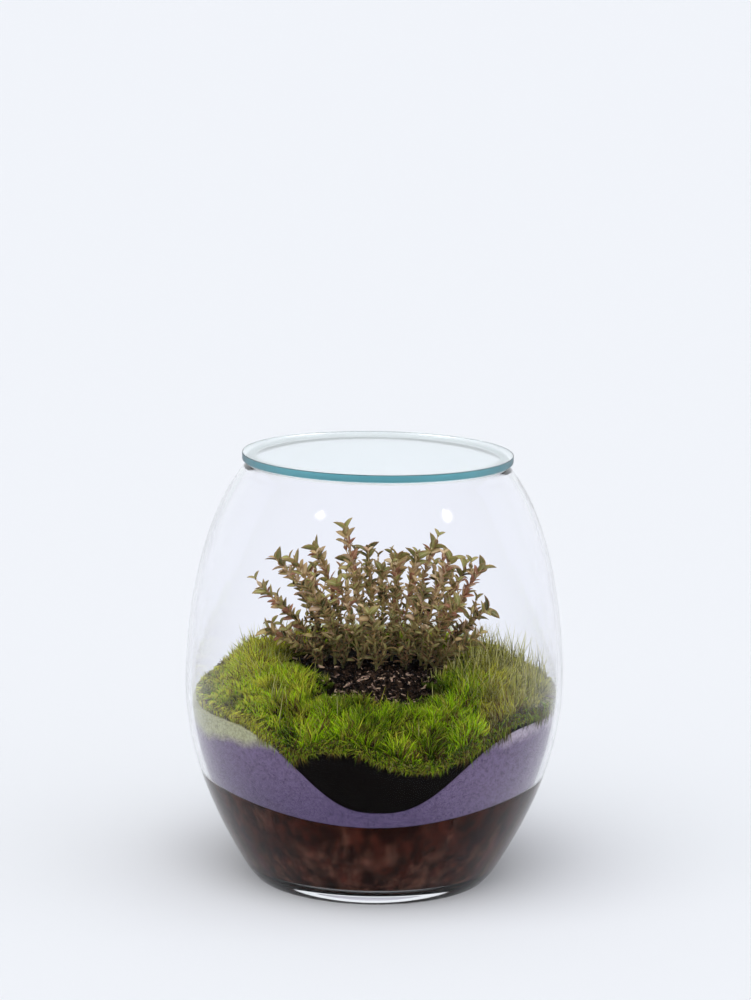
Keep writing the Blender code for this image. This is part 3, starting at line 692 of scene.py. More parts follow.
def damp_gravel(settings):
    """Damp lava gravel and charcoal behind dusty glass: dark, mottled, with cloudy streaks."""
    values = {"Roughness": 0.80, "Base Color": settings.gravel, "Specular IOR Level": 0.0}
    material, node = new_finish("damp_gravel", values)
    place = node("TexCoord").outputs["Object"]
    # Patches of colour 4 to 8 mm across, and rather taller.
    tall = node("Mapping", {"Vector": place, "Scale": (1.0, 1.0, 0.65)})
    patches = node("TexNoise", {"Vector": tall, "Scale": 120.0, "Detail": 6.0, "Roughness": 0.70})
    rust = node("ValToRGB", {"Fac": patches}, ((0.42, settings.gravel), (0.70, settings.gravel_rust)))
    # Streaks of dust run down the glass, about 6 mm wide and five times as long, and settle low down.
    drawn = node("Mapping", {"Vector": place, "Scale": (1.0, 1.0, 0.22)})
    streaks = node("TexNoise", {"Vector": drawn, "Scale": 85.0, "Detail": 6.0, "Roughness": 0.65})
    height = node("SeparateXYZ", {0: place}).outputs["Z"]
    settled = node("MapRange", {"Value": height, "From Min": 0.045, "From Max": 0.010, "To Max": 0.11})
    streaked = node("Math", {0: streaks, 1: settled}, operation="ADD")
    haze = node("ValToRGB", {"Fac": streaked}, ((0.54, grey(0.0)), (0.84, grey(0.72))))
    dusty = node("Mix", {0: haze, 6: rust, 7: settings.gravel_haze}, data_type="RGBA")
    # Stones of 4 mm, only just told apart, darker towards their edges: painted shade in the gaps between
    # them.
    stones = node("TexVoronoi", {"Vector": place, "Scale": 240.0})
    shade = node("ValToRGB", {"Fac": stones}, ((0.1, grey(1.0)), (0.9, grey(0.50))))
    stony = node("Mix", {0: 0.7, 6: dusty, 7: shade}, data_type="RGBA", blend_type="MULTIPLY")
    return finished(material, stony, stones, 0.2, 0.0005)


def quartz_sand(settings):
    """Dyed quartz sand, sieved fine: speckled grains, damp and dark low down, dry and pale on top."""
    values = {"Roughness": 0.90, "Base Color": settings.sand, "Specular IOR Level": 0.0}
    material, node = new_finish("quartz_sand", values)
    place = node("TexCoord").outputs["Object"]
    right, _, up = node("SeparateXYZ", {0: place}).outputs
    # The damp and the dry line wander by about 6 mm, and the dry one lies lower at the left.
    drift = node("TexNoise", {"Vector": place, "Scale": 55.0, "Detail": 3.0})
    level = node("Math", {0: drift, 1: 0.014, 2: up}, operation="MULTIPLY_ADD")
    tilted = node("Math", {0: right, 1: -0.019, 2: level}, operation="MULTIPLY_ADD")
    dry = node("MapRange", {"Value": tilted, "From Min": 0.0963, "From Max": 0.1023})
    # The thin front, over the dip, is damp higher up than the sides.
    side = node("Math", {0: right}, operation="ABSOLUTE")
    raised = node("Math", {0: side, 1: 0.36, 2: level}, operation="MULTIPLY_ADD")
    # Towards the left the sand is darker: painted shade against the key light from that side.
    damp_and_left_shade = node("Math", {0: right, 1: 0.16, 2: raised}, operation="MULTIPLY_ADD")
    damp = node("MapRange", {"Value": damp_and_left_shade, "From Min": 0.068, "From Max": 0.108})
    body = node("Mix", {0: damp, 6: settings.sand_damp, 7: settings.sand}, data_type="RGBA")
    # The dry sand at the left is green: partly moss dust, partly painted light bounced from the moss.
    dusty = node("MapRange", {"Value": right, "From Min": -0.03, "From Max": 0.03})
    dry_tone = node("Mix", {0: dusty, 6: settings.sand_moss_dust_and_light, 7: settings.sand_dry}, data_type="RGBA")
    banded = node("Mix", {0: dry, 6: body, 7: dry_tone}, data_type="RGBA")
    # Grains are 0.3 mm; they are drawn 0.9 mm wide so that they show, in clumps of 3 mm.
    grains = node("TexVoronoi", {"Vector": place, "Scale": 1100.0})
    light = node("SeparateColor", {0: grains.outputs["Color"]})
    clumps = node("TexNoise", {"Vector": place, "Scale": 320.0, "Detail": 3.0})
    mottle = node("Math", {0: light, 1: 0.55, 2: clumps}, operation="MULTIPLY_ADD")
    speckle = node("ValToRGB", {"Fac": mottle}, ((0.40, grey(0.60)), (0.80, grey(0.90)), (1.0, grey(1.0))))
    sandy = node("Mix", {0: 1.0, 6: banded, 7: speckle}, data_type="RGBA", blend_type="MULTIPLY")
    return finished(material, sandy, grains, 0.4, 0.0003)


def moist_peat(name, dark, pale):
    """Moist peat, crumbled by hand: nearly black, matt, with a few browner crumbs."""
    material, node = new_finish(name, {"Roughness": 0.92, "Base Color": dark, "Specular IOR Level": 0.06})
    place = node("TexCoord").outputs["Object"]
    # Crumbs and fibres of 1 to 3 mm.
    crumbs = node("TexNoise", {"Vector": place, "Scale": 420.0, "Detail": 4.0, "Roughness": 0.65})
    tone = node("ValToRGB", {"Fac": crumbs}, ((0.46, dark), (0.72, pale)))
    return finished(material, tone, crumbs, 0.7, 0.0010)


def bark_chips(settings):
    """Shredded pine bark and leaf litter: matt, from dark brown to tan."""
    material, node = new_finish("bark_chips", {"Roughness": 0.85, "Base Color": settings.bit})
    # Each chip of about 2 mm has a tone of its own.
    chips = node("TexNoise", {"Vector": node("TexCoord").outputs["Object"], "Scale": 330.0, "Detail": 1.0})
    stops = ((0.36, settings.bit_dark), (0.50, settings.bit), (0.62, settings.bit_pale))
    return finished(material, node("ValToRGB", {"Fac": chips}, stops))


def living_moss(name, settings):
    """Living moss: thin matt blades in the tone of their row of the map, with painted shade towards the root.
    """
    values = {"Roughness": 0.60, "Base Color": settings.bright, "Specular IOR Level": 0.08}
    material, node = new_finish(name, values)
    parts = node("SeparateXYZ", {0: node("UVMap", uv_map=SHADE_MAP)}).outputs
    row = node("ValToRGB", {"Fac": parts["Y"]}, (
        (0.04, settings.brown), (0.12, settings.deep), (0.28, settings.bright),
        (0.50, settings.yellow), (0.72, settings.olive), (0.95, settings.straw),
    ))
    # Painted shade: the map's first coordinate darkens blades to the roots' colour low down, in pits and by
    # the plant.
    depth = node("ValToRGB", {"Fac": parts["X"]}, ((0.06, grey(0.0)), (0.42, grey(0.42)), (0.82, grey(1.0))))
    return finished(material, node("Mix", {0: depth, 6: settings.root, 7: row}, data_type="RGBA"))


def thin_leaf(name, settings, lift):
    """Thin living leaves: matt, olive to bronze, with a paler midrib and a redder margin and tip.

    The map's rows are shades of leaf, from the lowest on the shoot to the highest, partly the leaves' own
    colour and partly painted shade below and painted light above; each row runs from one margin over the
    midrib to the other.
    """
    values = {"Roughness": 0.55, "Base Color": settings.bronze, "Specular IOR Level": 0.2}
    material, node = new_finish(name, values)
    parts = node("SeparateXYZ", {0: node("UVMap", uv_map=SHADE_MAP)}).outputs
    rows = node("Math", {0: parts["Y"], 1: LEAF_SHADES}, operation="MULTIPLY")
    row = node("Math", {0: rows}, operation="FLOOR")
    across = node("Math", {0: rows}, operation="FRACT")
    level = node("Math", {0: row, 1: 1.0 / (LEAF_SHADES - 1), 2: lift}, operation="MULTIPLY_ADD")
    tone = node("ValToRGB", {"Fac": level}, (
        (0.0, settings.shade), (0.35, settings.green), (0.60, settings.bronze),
        (0.85, settings.tan), (1.0, settings.red),
    ))
    # The margins redden, most of all towards the tip.
    margin = node("ValToRGB", {"Fac": across}, (
        (0.0, grey(0.75)), (0.22, grey(0.10)), (0.46, grey(0.0)), (0.54, grey(0.0)),
        (0.78, grey(0.10)), (1.0, grey(0.75)),
    ))
    tip = node("MapRange", {"Value": parts["X"], "From Min": 0.55, "From Max": 1.0, "To Max": 0.55})
    reddening = node("Math", {0: margin, 1: tip}, operation="MAXIMUM")
    edged = node("Mix", {0: reddening, 6: tone, 7: settings.red}, data_type="RGBA")
    rib = node("ValToRGB", {"Fac": across}, ((0.44, grey(0.0)), (0.50, grey(0.5)), (0.56, grey(0.0))))
    return finished(material, node("Mix", {0: rib, 6: edged, 7: settings.tan}, data_type="RGBA"))


def turn_outline(name, outline, sides):
    """Turn an outline with both ends on the axis, by extruding a circle ring by ring."""
    radius, height = outline[1]
    piece = primitive("circle", name, vertices=sides, radius=radius, fill_type="TRIFAN")
    bm = edit(piece, "VERT", "SELECT")
    bpy.ops.transform.translate(value=(0.0, 0.0, height))
    choose(piece, bm.verts, lambda v: v.co.xy.length < radius / 2)
    bpy.ops.transform.translate(value=(0.0, 0.0, outline[0][1] - height))
    bpy.ops.mesh.select_all(action="DESELECT")
    bpy.ops.mesh.select_mode(type="EDGE")
    bpy.ops.mesh.select_non_manifold()
    for (r0, h0), (r1, h1) in zip(outline[1:-1], outline[2:-1]):
        extrude((0.0, 0.0, h1 - h0))
        bpy.ops.transform.resize(value=(r1 / r0, r1 / r0, 1.0), center_override=(0.0, 0.0, 0.0))
    extrude((0.0, 0.0, outline[-1][1] - outline[-2][1]))
    bpy.ops.mesh.merge(type="CENTER")
    face_outward()
    piece.data.shade_smooth()
    return piece


def unit_drum(name, sides, top_rings, bottom_rings, wall_cuts):
    """A drum of radius 1 between heights -1 and 1, its caps inset ring by ring and its wall cut in bands."""
    drum = primitive("cylinder", name, vertices=sides, radius=1.0, depth=2.0, end_fill_type="NGON")
    for up, rings in ((1.0, top_rings), (-1.0, bottom_rings)):
        bm = edit(drum, "FACE")
        choose(drum, bm.faces, lambda f: f.normal.z * up > 0.9)
        for _ in range(rings):
            bpy.ops.mesh.inset(thickness=1.0 / (rings + 1), depth=0.0)
        bpy.ops.mesh.poke()
        leave_edit()
    bm = edit(drum, "EDGE")
    choose(drum, bm.edges, lambda e: abs(e.verts[0].co.z - e.verts[1].co.z) > 1.0)
    bpy.ops.mesh.subdivide(number_cuts=wall_cuts)
    leave_edit()
    return drum


def shape_drum(drum, bottom, wall, top):
    """Move a unit drum's vertices to a layer: its underside, its wall and its top."""
    places = coordinates(drum.data)
    share = np.minimum(np.hypot(places[:, 0], places[:, 1]), 1.0)
    angle = np.degrees(np.arctan2(places[:, 0], -places[:, 1]))
    level = (places[:, 2] + 1.0) / 2.0
    capped = share < 0.9999
    made = np.where(
        (capped & (level > 0.5))[:, None], top(share, angle),
        np.where((capped & (level < 0.5))[:, None], bottom(share, angle), wall(level, angle)),
    )
    set_coordinates(drum.data, made)
    drum.data.shade_smooth()
    deselect()
    drum.select_set(True)
    bpy.context.view_layer.objects.active = drum
    bpy.ops.object.shade_smooth_by_angle(angle=math.radians(LAYER_SHARP_ANGLE))


def drain_top(share, angle, gap=0.0):
    """The drainage layer's top, raised by a gap."""
    reach = share * wall_radius(drain_edge(angle) + gap)
    return polar(reach, angle, DRAIN_MIDDLE + (drain_edge(angle) - DRAIN_MIDDLE) * share ** 2 + gap)


def sand_under_soil(share, angle, gap=0.0):
    """The sand's top under the soil, raised by a gap."""
    reach = share * soil_edge(angle) * wall_radius(sand_edge(angle) + gap)
    return polar(reach, angle, SAND_MIDDLE + (sand_edge(angle) - SAND_MIDDLE) * share ** 2 + gap)


def draw_shades(mesh, shades):
    """Give a mesh the shade map alone, with one place on it for each vertex."""
    while mesh.uv_layers:
        mesh.uv_layers.remove(mesh.uv_layers[0])
    layer = mesh.uv_layers.new(name=SHADE_MAP)
    corners = np.empty(len(mesh.loops), int)
    mesh.loops.foreach_get("vertex_index", corners)
    layer.data.foreach_set("uv", np.asarray(shades).reshape(-1, 2)[corners].ravel())


def gather(name, model, places, shades=None):
    """One mesh of many copies of a model's faces, each with its own vertices and place on the shade map."""
    faces = [list(polygon.vertices) for polygon in model.polygons]
    size = len(model.vertices)
    mesh = bpy.data.meshes.new(name)
    everything = [[index + copy * size for index in face] for copy in range(len(places)) for face in faces]
    mesh.from_pydata(np.asarray(places).reshape(-1, 3).tolist(), [], everything)
    if shades is not None:
        draw_shades(mesh, shades)
    mesh.shade_smooth()
    mesh.update()
    return in_scene(name, mesh)


def join_pieces(name, pieces):
    """Join pieces into the first one."""
    deselect()
    for piece in pieces:
        piece.select_set(True)
    bpy.context.view_layer.objects.active = pieces[0]
    bpy.ops.object.join()
    return named(name)


def take_model(piece):
    """Keep a model's mesh and remove its object."""
    mesh = piece.data
    bpy.data.objects.remove(piece, do_unlink=True)
    return mesh


class TERRARIUM_OT_glass_jar(bpy.types.Operator):
    """Blow the clear glass jar, from its pushed-up foot to its ground rim"""

    bl_idname = "terrarium.glass_jar"
    bl_label = "Glass jar"

    def execute(self, context):
        settings = context.scene.terrarium_glass
        lower, upper = outer_curves()
        outline = [*FOOT_HOLLOW, *((radius, 0.0) for radius in FOOT_FLAT), *FOOT_CORNER]
        outline += [bezier(lower, t) for t in spaced(OUTSIDE_SPAN[0], 1.0, OUTLINE_STEPS)]
        outline += [bezier(upper, t) for t in spaced(0.0, OUTSIDE_SPAN[1], OUTLINE_STEPS)[1:]]
        outline += [(radius, RIM_HEIGHT - below) for radius, below in RIM_TOP]
        outline += [RIM_INSIDE, *reversed(INNER_WALL), *reversed(FLOOR_CORNER), *FLOOR]
        jar = turn_outline("glass_jar", outline, settings.sides)
        clear = blown_soda_glass("blown_soda_glass", settings, 0.0)
        frosted = blown_soda_glass("ground_glass_rim", settings, settings.rim_roughness, settings.rim_clear)
        ready(jar, [clear, frosted], "jar_glass", "jar")
        for face in jar.data.polygons:
            face.material_index = 1 if face.center.z > RIM_HEIGHT - RIM_GROUND else 0
        return {"FINISHED"}


class TERRARIUM_OT_glass_lid(bpy.types.Operator):
    """Cut the loose glass lid and grind its edge"""

    bl_idname = "terrarium.glass_lid"
    bl_label = "Glass lid"

    def execute(self, context):
        settings = context.scene.terrarium_glass
        low, high, radius = LID_LOW.z, LID_HIGH.z, LID_HIGH.x
        flat = radius - LID_CHAMFER
        soft = 0.3 * LID_CHAMFER
        outline = [(0.0, low), (flat, low), (radius - soft, low + soft), (radius, low + LID_CHAMFER)]
        outline += [(radius, high - LID_CHAMFER), (radius - soft, high - soft), (flat, high), (0.0, high)]
        lid = turn_outline("glass_lid", outline, settings.sides)
        lid.data.set_sharp_from_angle(angle=math.radians(LID_SHARP_ANGLE))
        faces = float_glass("float_glass", settings, 0.0)
        edge = float_glass("float_glass_ground_edge", settings, settings.edge_roughness)
        ready(lid, [faces, edge], "lid_glass", "lid")
        for face in lid.data.polygons:
            face.material_index = 1 if abs(face.normal.z) < 0.99 else 0
        return {"FINISHED"}


class TERRARIUM_OT_drainage(bpy.types.Operator):
    """Fill in the drainage gravel at the bottom"""

    bl_idname = "terrarium.drainage"
    bl_label = "Drainage layer"

    def execute(self, context):
        floor = FLOOR_HEIGHT + GAP
        corner = [(0.0, floor), (FLOOR_RADIUS, floor), FLOOR[0]]
        corner += [(radius + WET, height - WET) for radius, height in FLOOR_CORNER]
        radii, heights = np.array(corner).T
        low = heights[-1]

        def bottom(share, angle):
            return polar(share * radii[-1], angle, np.interp(share * radii[-1], radii, heights))

        def wall(level, angle):
            height = low + level * (drain_edge(angle) - low)
            return polar(wall_radius(height) + GAP + WET, angle, height)

        drum = unit_drum("drainage_gravel", 192, 12, 12, 24)
        shape_drum(drum, bottom, wall, drain_top)
        ready(drum, [damp_gravel(context.scene.terrarium_layers)], "drainage_gravel", "drainage_layer")
        return {"FINISHED"}


class TERRARIUM_OT_sand(bpy.types.Operator):
    """Pour the sand, banked up the glass at both sides"""

    bl_idname = "terrarium.sand"
    bl_label = "Sand layer"

    def execute(self, context):
        def bottom(share, angle):
            return drain_top(share, angle, GAP)

        def wall(level, angle):
            low = drain_edge(angle) + GAP
            height = low + level * (sand_edge(angle) - low)
            return polar(wall_radius(height), angle, height)

        def top(share, angle):
            # The last ring of the cap is the strip of sand between the soil's edge and the glass.
            inner = sand_under_soil(np.minimum(share / SAND_STRIP, 1.0), angle)
            outer = polar(wall_radius(sand_edge(angle)), angle, sand_edge(angle))
            part = np.clip((share - SAND_STRIP) / (1.0 - SAND_STRIP), 0.0, 1.0)[:, None]
            return inner + (outer - inner) * part

        drum = unit_drum("lilac_sand", 240, 24, 12, 28)
        shape_drum(drum, bottom, wall, top)
        ready(drum, [quartz_sand(context.scene.terrarium_layers)], "lilac_sand", "sand_layer")
        return {"FINISHED"}


class TERRARIUM_OT_soil(bpy.types.Operator):
    """Heap the potting soil and strew it with crumbs and bits of bark"""

    bl_idname = "terrarium.soil"
    bl_label = "Potting soil"

    def execute(self, context):
        settings = context.scene.terrarium_layers

        def bottom(share, angle):
            return sand_under_soil(share, angle, GAP)

        def wall(level, angle):
            low = sand_edge(angle) + GAP
            height = low + level * (soil_top_edge(angle) - low)
            wet = (GAP + WET) * (1.0 - level ** 4) * touch_share(angle)
            return polar(soil_edge(angle) * wall_radius(height) + wet, angle, height)

        def top(share, angle):
            places = polar(share * soil_reach(angle), angle, soil_top(share, angle))
            rough = np.array([noise.fractal(Vector(place) * 260.0, 0.7, 2.0, 3) for place in places])
            places[:, 2] += SOIL_ROUGHNESS * rough * (share < 0.97)
            return places

        drum = unit_drum("black_soil", 240, 64, 12, 16)
        shape_drum(drum, bottom, wall, top)
        ready(drum, [moist_peat("moist_peat", settings.soil, settings.crumb)], "potting_soil", "potting_soil")
        crumbs = strew("soil_crumbs", crumb_model(), settings.crumbs, 11, (0.00045, 0.0017), 0.30)
        ready(crumbs, [moist_peat("peat_crumbs", settings.soil, settings.crumb_loose)], "potting_soil")
        bits = strew("bark_bits", chip_model(), settings.bits, 12, (0.0007, 0.0017), 0.55)
        ready(bits, [bark_chips(settings)], "potting_soil")
        return {"FINISHED"}


def crumb_model():
    """A rough crumb of radius 1."""
    crumb = primitive("ico_sphere", "crumb", subdivisions=1, radius=1.0)
    edit(crumb, "VERT", "SELECT")
    bpy.ops.transform.vertex_random(offset=0.28, uniform=1.0, seed=3)
    leave_edit()
    return take_model(crumb)


def chip_model():
    """A thin chip of bark, 2 long, narrower at one end."""
    chip = primitive("cube", "chip", size=2.0)
    bm = edit(chip, "VERT", "SELECT")
    bpy.ops.transform.resize(value=(1.0, 0.45, 0.18), center_override=(0.0, 0.0, 0.0))
    choose(chip, bm.verts, lambda v: v.co.x > 0.0)
    bpy.ops.transform.resize(value=(1.0, 0.45, 0.8), center_override=(0.0, 0.0, 0.0))
    bpy.ops.transform.translate(value=(0.0, 0.15, 0.22))
    leave_edit()
    return take_model(chip)


def strew(name, model, count, seed, sizes, lift):
    """Strew copies of a model on the bare soil, more of them in front of the plant."""
    rng = np.random.default_rng(seed)
    unit = coordinates(model)
    places = []
    while len(places) < count:
        angle = rng.normal(*STREWN_FRONT) if rng.random() < STREWN_FRONT_SHARE else rng.uniform(-180.0, 180.0)
        share = math.sqrt(rng.uniform(0.0, STREWN_REACH ** 2))
        spot = polar(share * soil_reach(angle), angle, soil_top(share, angle) + cover_depth(share, angle))
        size = rng.uniform(*sizes)
        turn = Matrix.Rotation(rng.uniform(0.0, 2.0 * math.pi), 3, "Z")
        tip_x, tip_y = (Matrix.Rotation(rng.normal(0.0, STREWN_TILT), 3, axis) for axis in "XY")
        stretch = rng.uniform(0.7, 1.35, 3)
        spot[2] += lift * size
        places.append((unit * stretch) @ np.array(turn @ (tip_x @ tip_y)).T * size + spot)
    return gather(name, model, places)


def blade_model():
    """A three-sided moss blade: an end face, a band, and a point at its tip."""
    blade = primitive("circle", "blade", vertices=3, radius=1.0, fill_type="NGON")
    edit(blade, "VERT", "SELECT")
    bpy.ops.mesh.flip_normals()
    extrude((0.0, 0.0, 1.0))
    extrude((0.0, 0.0, 1.0))
    bpy.ops.mesh.merge(type="CENTER")
    face_outward()
    return take_model(blade)


def moss_row(x, y):
    """Row of the shade map over the plan: bright in front, olive at the right, yellow at the left."""
    right, back = x / MILLIMETRE, y / MILLIMETRE
    wander = 5.0 * np.sin(back / 7.0) + 3.0 * np.sin(right / 5.0 + 1.0)
    olive = 1.0 / (1.0 + np.exp(-(right - OLIVE_FROM + 0.3 * wander) / 1.5))
    yellow = 1.0 / (1.0 + np.exp((right - YELLOW_TO + wander) / 7.0))
    behind = 1.0 / (1.0 + np.exp(-(back - BEHIND_FROM + wander) / 8.0))
    row = 0.25 + 0.12 * behind + 0.20 * yellow
    return row + (0.68 - row) * olive


def moss_base(name, first, last, inner):
    """The low lumpy pad that the blades stand in."""
    pad = primitive("grid", name, x_subdivisions=44, y_subdivisions=20, size=2.0)
    edit(pad, "FACE", "SELECT")
    extrude((0.0, 0.0, 1.0))
    face_outward()
    unit = coordinates(pad.data)
    inset = math.degrees(MOSS_SIDE_GAP / BELLY_RADIUS)
    angle = first + inset + (last - first - 2.0 * inset) * (unit[:, 0] + 1.0) / 2.0
    share = inner + (1.0 - inner) * (unit[:, 1] + 1.0) / 2.0
    height = soil_top(share, angle) + GAP + unit[:, 2] * pad_depth(inner, share, angle)
    radius = np.minimum(share * soil_reach(angle), wall_radius(height))
    set_coordinates(pad.data, polar(radius, angle, height))
    edit(pad, "FACE")
    face_outward()
    rng = np.random.default_rng(5)
    places = coordinates(pad.data)
    rows = moss_row(places[:, 0], places[:, 1]) + rng.normal(0.0, 0.06, len(places))
    # Painted shade: the pad under the blades takes nearly the roots' colour, a little lighter at its top.
    draw_shades(pad.data, np.stack([0.08 + 0.06 * unit[:, 2], np.clip(rows, 0.02, 0.98)], -1))
    pad.data.shade_smooth()
    return pad


def unit_vectors(vectors):
    """The same directions with length 1."""
    return vectors / np.maximum(np.linalg.norm(vectors, axis=-1, keepdims=True), 1e-12)


def noise_at(points):
    """Smooth noise from about -1 to 1 at each point."""
    return np.array([noise.noise(Vector(point)) for point in points])


def inside_glass(places, room):
    """Places drawn in to stand clear of the glass."""
    reach = np.hypot(places[..., 0], places[..., 1])
    most = wall_radius(places[..., 2]) - room
    scale = np.minimum(1.0, most / np.maximum(reach, 1e-9))
    places = places.copy()
    places[..., :2] *= scale[..., None]
    return places


def inside_sides(places, first, last):
    """Places turned back between a pad's two side planes, so that no blade stands in the next pad."""
    radius = np.hypot(places[..., 0], places[..., 1])
    middle, half = (first + last) / 2.0, (last - first) / 2.0
    off = signed_angle(np.degrees(np.arctan2(places[..., 0], -places[..., 1])) - middle)
    return polar(radius, middle + np.clip(off, -half, half), places[..., 2])


def blade_places(model, root, middle, tip, radius, rng, room=BLADE_ROOM):
    """Copies of the blade model, each along its root, middle and tip, with some room to the glass."""
    start = unit_vectors(middle - root)
    turn = rng.uniform(0.0, 2.0 * np.pi, len(root))
    side = unit_vectors(np.cross(start, np.stack([np.cos(turn), np.sin(turn), 0.3 + 0.0 * turn], -1)))
    other = np.cross(side, start)
    unit = coordinates(model)
    level = unit[:, 2][None, :, None]
    spine = np.where(level < 0.5, root[:, None], np.where(level < 1.5, middle[:, None], tip[:, None]))
    across = side[:, None] * unit[None, :, :1] + BLADE_FLATNESS * other[:, None] * unit[None, :, 1:2]
    return inside_glass(spine + across * radius[:, None, None], room)


def blade_shades(model, rows, light, low=0.0):
    """Each blade's places on the shade map: along it as far as it is lit, and in its own row."""
    unit = coordinates(model)
    shades = np.empty((len(rows), len(unit), 2))
    shades[..., 0] = (low + (1.0 - low) * unit[:, 2] / 2.0) * light[:, None]
    shades[..., 1] = rows[:, None] + 0.010 * unit[None, :, 0]
    return np.clip(shades, *MAP_INSIDE)


def blade_growth(angle, share, inner, ramp):
    """How much of its full height a blade reaches: less at the soil's edge and at the left rim."""
    grown = EDGE_GROWTH + (1.0 - EDGE_GROWTH) * np.clip((share - inner) / ramp, 0.0, 1.0)
    return grown * (1.0 - LEFT_RIM_STUNTED * rim_share(share, angle))


def short_share(angle):
    """How much shorter the crowded blades are at the right and behind, where long wisps stand over them."""
    return SHORTEST_SHARE * np.exp(-((signed_angle(angle - SHORTEST_AT) / SHORTEST_SPREAD) ** 2))


def blade_light(root, share, inner, ramp):
    """How well lit a blade is: dark in pits of about 15 mm, and beside the plant."""
    pits = noise_at([(x * 62.0, y * 62.0, 3.7) for x, y, _ in root])
    pits += 0.5 * noise_at([(x * 170.0, y * 170.0, 8.2) for x, y, _ in root])
    beside = np.clip((share - inner) / (1.2 * ramp), 0.0, 1.0)
    open_sky = 1.0 - PIT_SHADE * np.clip(2.0 * pits - 0.2, 0.0, 1.0)
    return open_sky * (PLANT_SHADE + (1.0 - PLANT_SHADE) * beside)


def moss_coat(name, model, pad, settings, stems):
    """One pad's blades: tufts that spread outwards, long pale wisps, and a fringe down the glass."""
    _, _, _, first, last, inner, ramp, tufts, blades, wisps, shortest, tallest = pad
    rng = np.random.default_rng([SEED, *name.encode()])
    centre_angle = rng.uniform(first, last, tufts)
    centre_share = np.sqrt(rng.uniform(inner ** 2, 1.0, tufts))
    centres = polar(centre_share * soil_reach(centre_angle), centre_angle, 0.0)[:, :2]

    def rooted(count):
        angle = rng.uniform(first, last, count)
        share = np.sqrt(rng.uniform(inner ** 2, 0.995 ** 2, count))
        depth = pad_depth(inner, share, angle) * rng.uniform(*ROOT_DEPTH, count)
        place = polar(share * soil_reach(angle), angle, soil_top(share, angle) + GAP + depth)
        return angle, share, inside_glass(place, ROOT_ROOM)

    def bent(root, start, end, length):
        middle = inside_sides(inside_glass(root + start * (0.5 * length)[:, None], TIP_ROOM), first, last)
        tip = inside_glass(middle + end * (0.5 * length)[:, None], 0.8 * TIP_ROOM)
        return middle, inside_sides(tip, first, last)

    # Tufts: blades crowd round each middle and thin out between the tufts.
    angle, share, root = rooted(int(TRIED_PER_BLADE * blades * settings.density))
    gaps = np.linalg.norm(root[:, None, :2] - centres[None], axis=-1)
    nearest, out = gaps.argmin(1), gaps.min(1) / TUFT_RADIUS
    crowded = np.exp(-(out / TUFT_CROWD) ** 2) + 0.10
    kept = rng.random(len(root)) < crowded * np.clip(0.2 + 1.1 * (share - inner) / ramp, 0.0, 1.0)
    angle, share, root, nearest, out = angle[kept], share[kept], root[kept], nearest[kept], out[kept]
    count = len(root)
    away = np.zeros((count, 3))
    away[:, :2] = unit_vectors(root[:, :2] - centres[nearest])
    lean = away * (TUFT_LEAN * np.minimum(out, 1.2))[:, None] + rng.normal(0.0, BLADE_STRAY[0], (count, 3))
    lean[:, 2] = 1.0
    start = unit_vectors(lean)
    end = unit_vectors(start + away * 0.5 + rng.normal(0.0, BLADE_STRAY[1], (count, 3)))
    length = rng.uniform(shortest, tallest, count) * rng.uniform(*TUFT_HEIGHTS, tufts)[nearest]
    length *= blade_growth(angle, share, inner, ramp) * (1.0 - 0.22 * np.minimum(out, 1.0) ** 2)
    length *= 1.0 - short_share(angle)
    middle, tip = bent(root, start, end, length)
    clear = np.linalg.norm(tip[:, None, :2] - stems[None, :, :2], axis=-1).min(1) > STEM_ROOM
    rows = moss_row(root[:, 0], root[:, 1]) + rng.normal(0.0, 0.10, count)
    # Each tuft has a tone of its own; blades at its edge take deeper green rows, as painted shade between the
    # tufts.
    rows += rng.normal(0.0, 0.07, tufts)[nearest] - 0.10 * np.clip(out - 0.5, 0.0, 1.0)
    rows = np.where(rng.random(count) < DRY_SHARE, rng.uniform(*DRY_ROWS, count), rows)
    dead = noise_at([(x * 100.0, y * 100.0, 9.1) for x, y, _ in root]) > 0.20
    dead = (dead & (rng.random(count) < DEAD_SHARES[0])) | (rng.random(count) < DEAD_SHARES[1])
    rows = np.where(dead, DEAD_ROW, rows)
    light = blade_light(root, share, inner, ramp) * rng.uniform(0.80, 1.15, count)
    radius = settings.blade_radius * rng.uniform(0.65, 1.30, count)
    places = [blade_places(model, root[clear], middle[clear], tip[clear], radius[clear], rng)]
    shades = [blade_shades(model, rows[clear], light[clear])]

    # Wisps: thin, pale and nearly upright, a few of them in shade.
    angle, share, root = rooted(wisps)
    start = unit_vectors(rng.normal(0.0, WISP_STRAY[0], (wisps, 3)) + (0.0, 0.0, 1.0))
    end = unit_vectors(start + rng.normal(0.0, WISP_STRAY[1], (wisps, 3)))
    length = WISP_SHARE[0] + (WISP_SHARE[1] - WISP_SHARE[0]) * rng.random(wisps) ** 1.5
    length *= tallest * blade_growth(angle, share, inner, ramp)
    middle, tip = bent(root, start, end, length)
    places.append(blade_places(model, root, middle, tip, np.full(wisps, WISP_RADIUS), rng))
    lit = np.where(rng.random(wisps) < 0.06, 0.22, 1.0)
    shades.append(blade_shades(model, rng.uniform(*WISP_ROW, wisps), lit, 0.15))

    # Fringe: short blades that hang in locks over the pad's outer edge and press on the glass.
    angle = rng.uniform(first + 0.1, last - 0.1, int((last - first) * FRINGE_PER_DEGREE))
    angle = angle[rng.random(len(angle)) > 0.2 * rim_share(1.0, angle)]
    count = len(angle)
    loose = 1.0 - touch_share(angle)
    locks = noise_at([(a * 0.22, 0.0, 5.1) for a in angle])
    locks += 0.6 * noise_at([(a * 0.80, 4.0, 1.3) for a in angle])
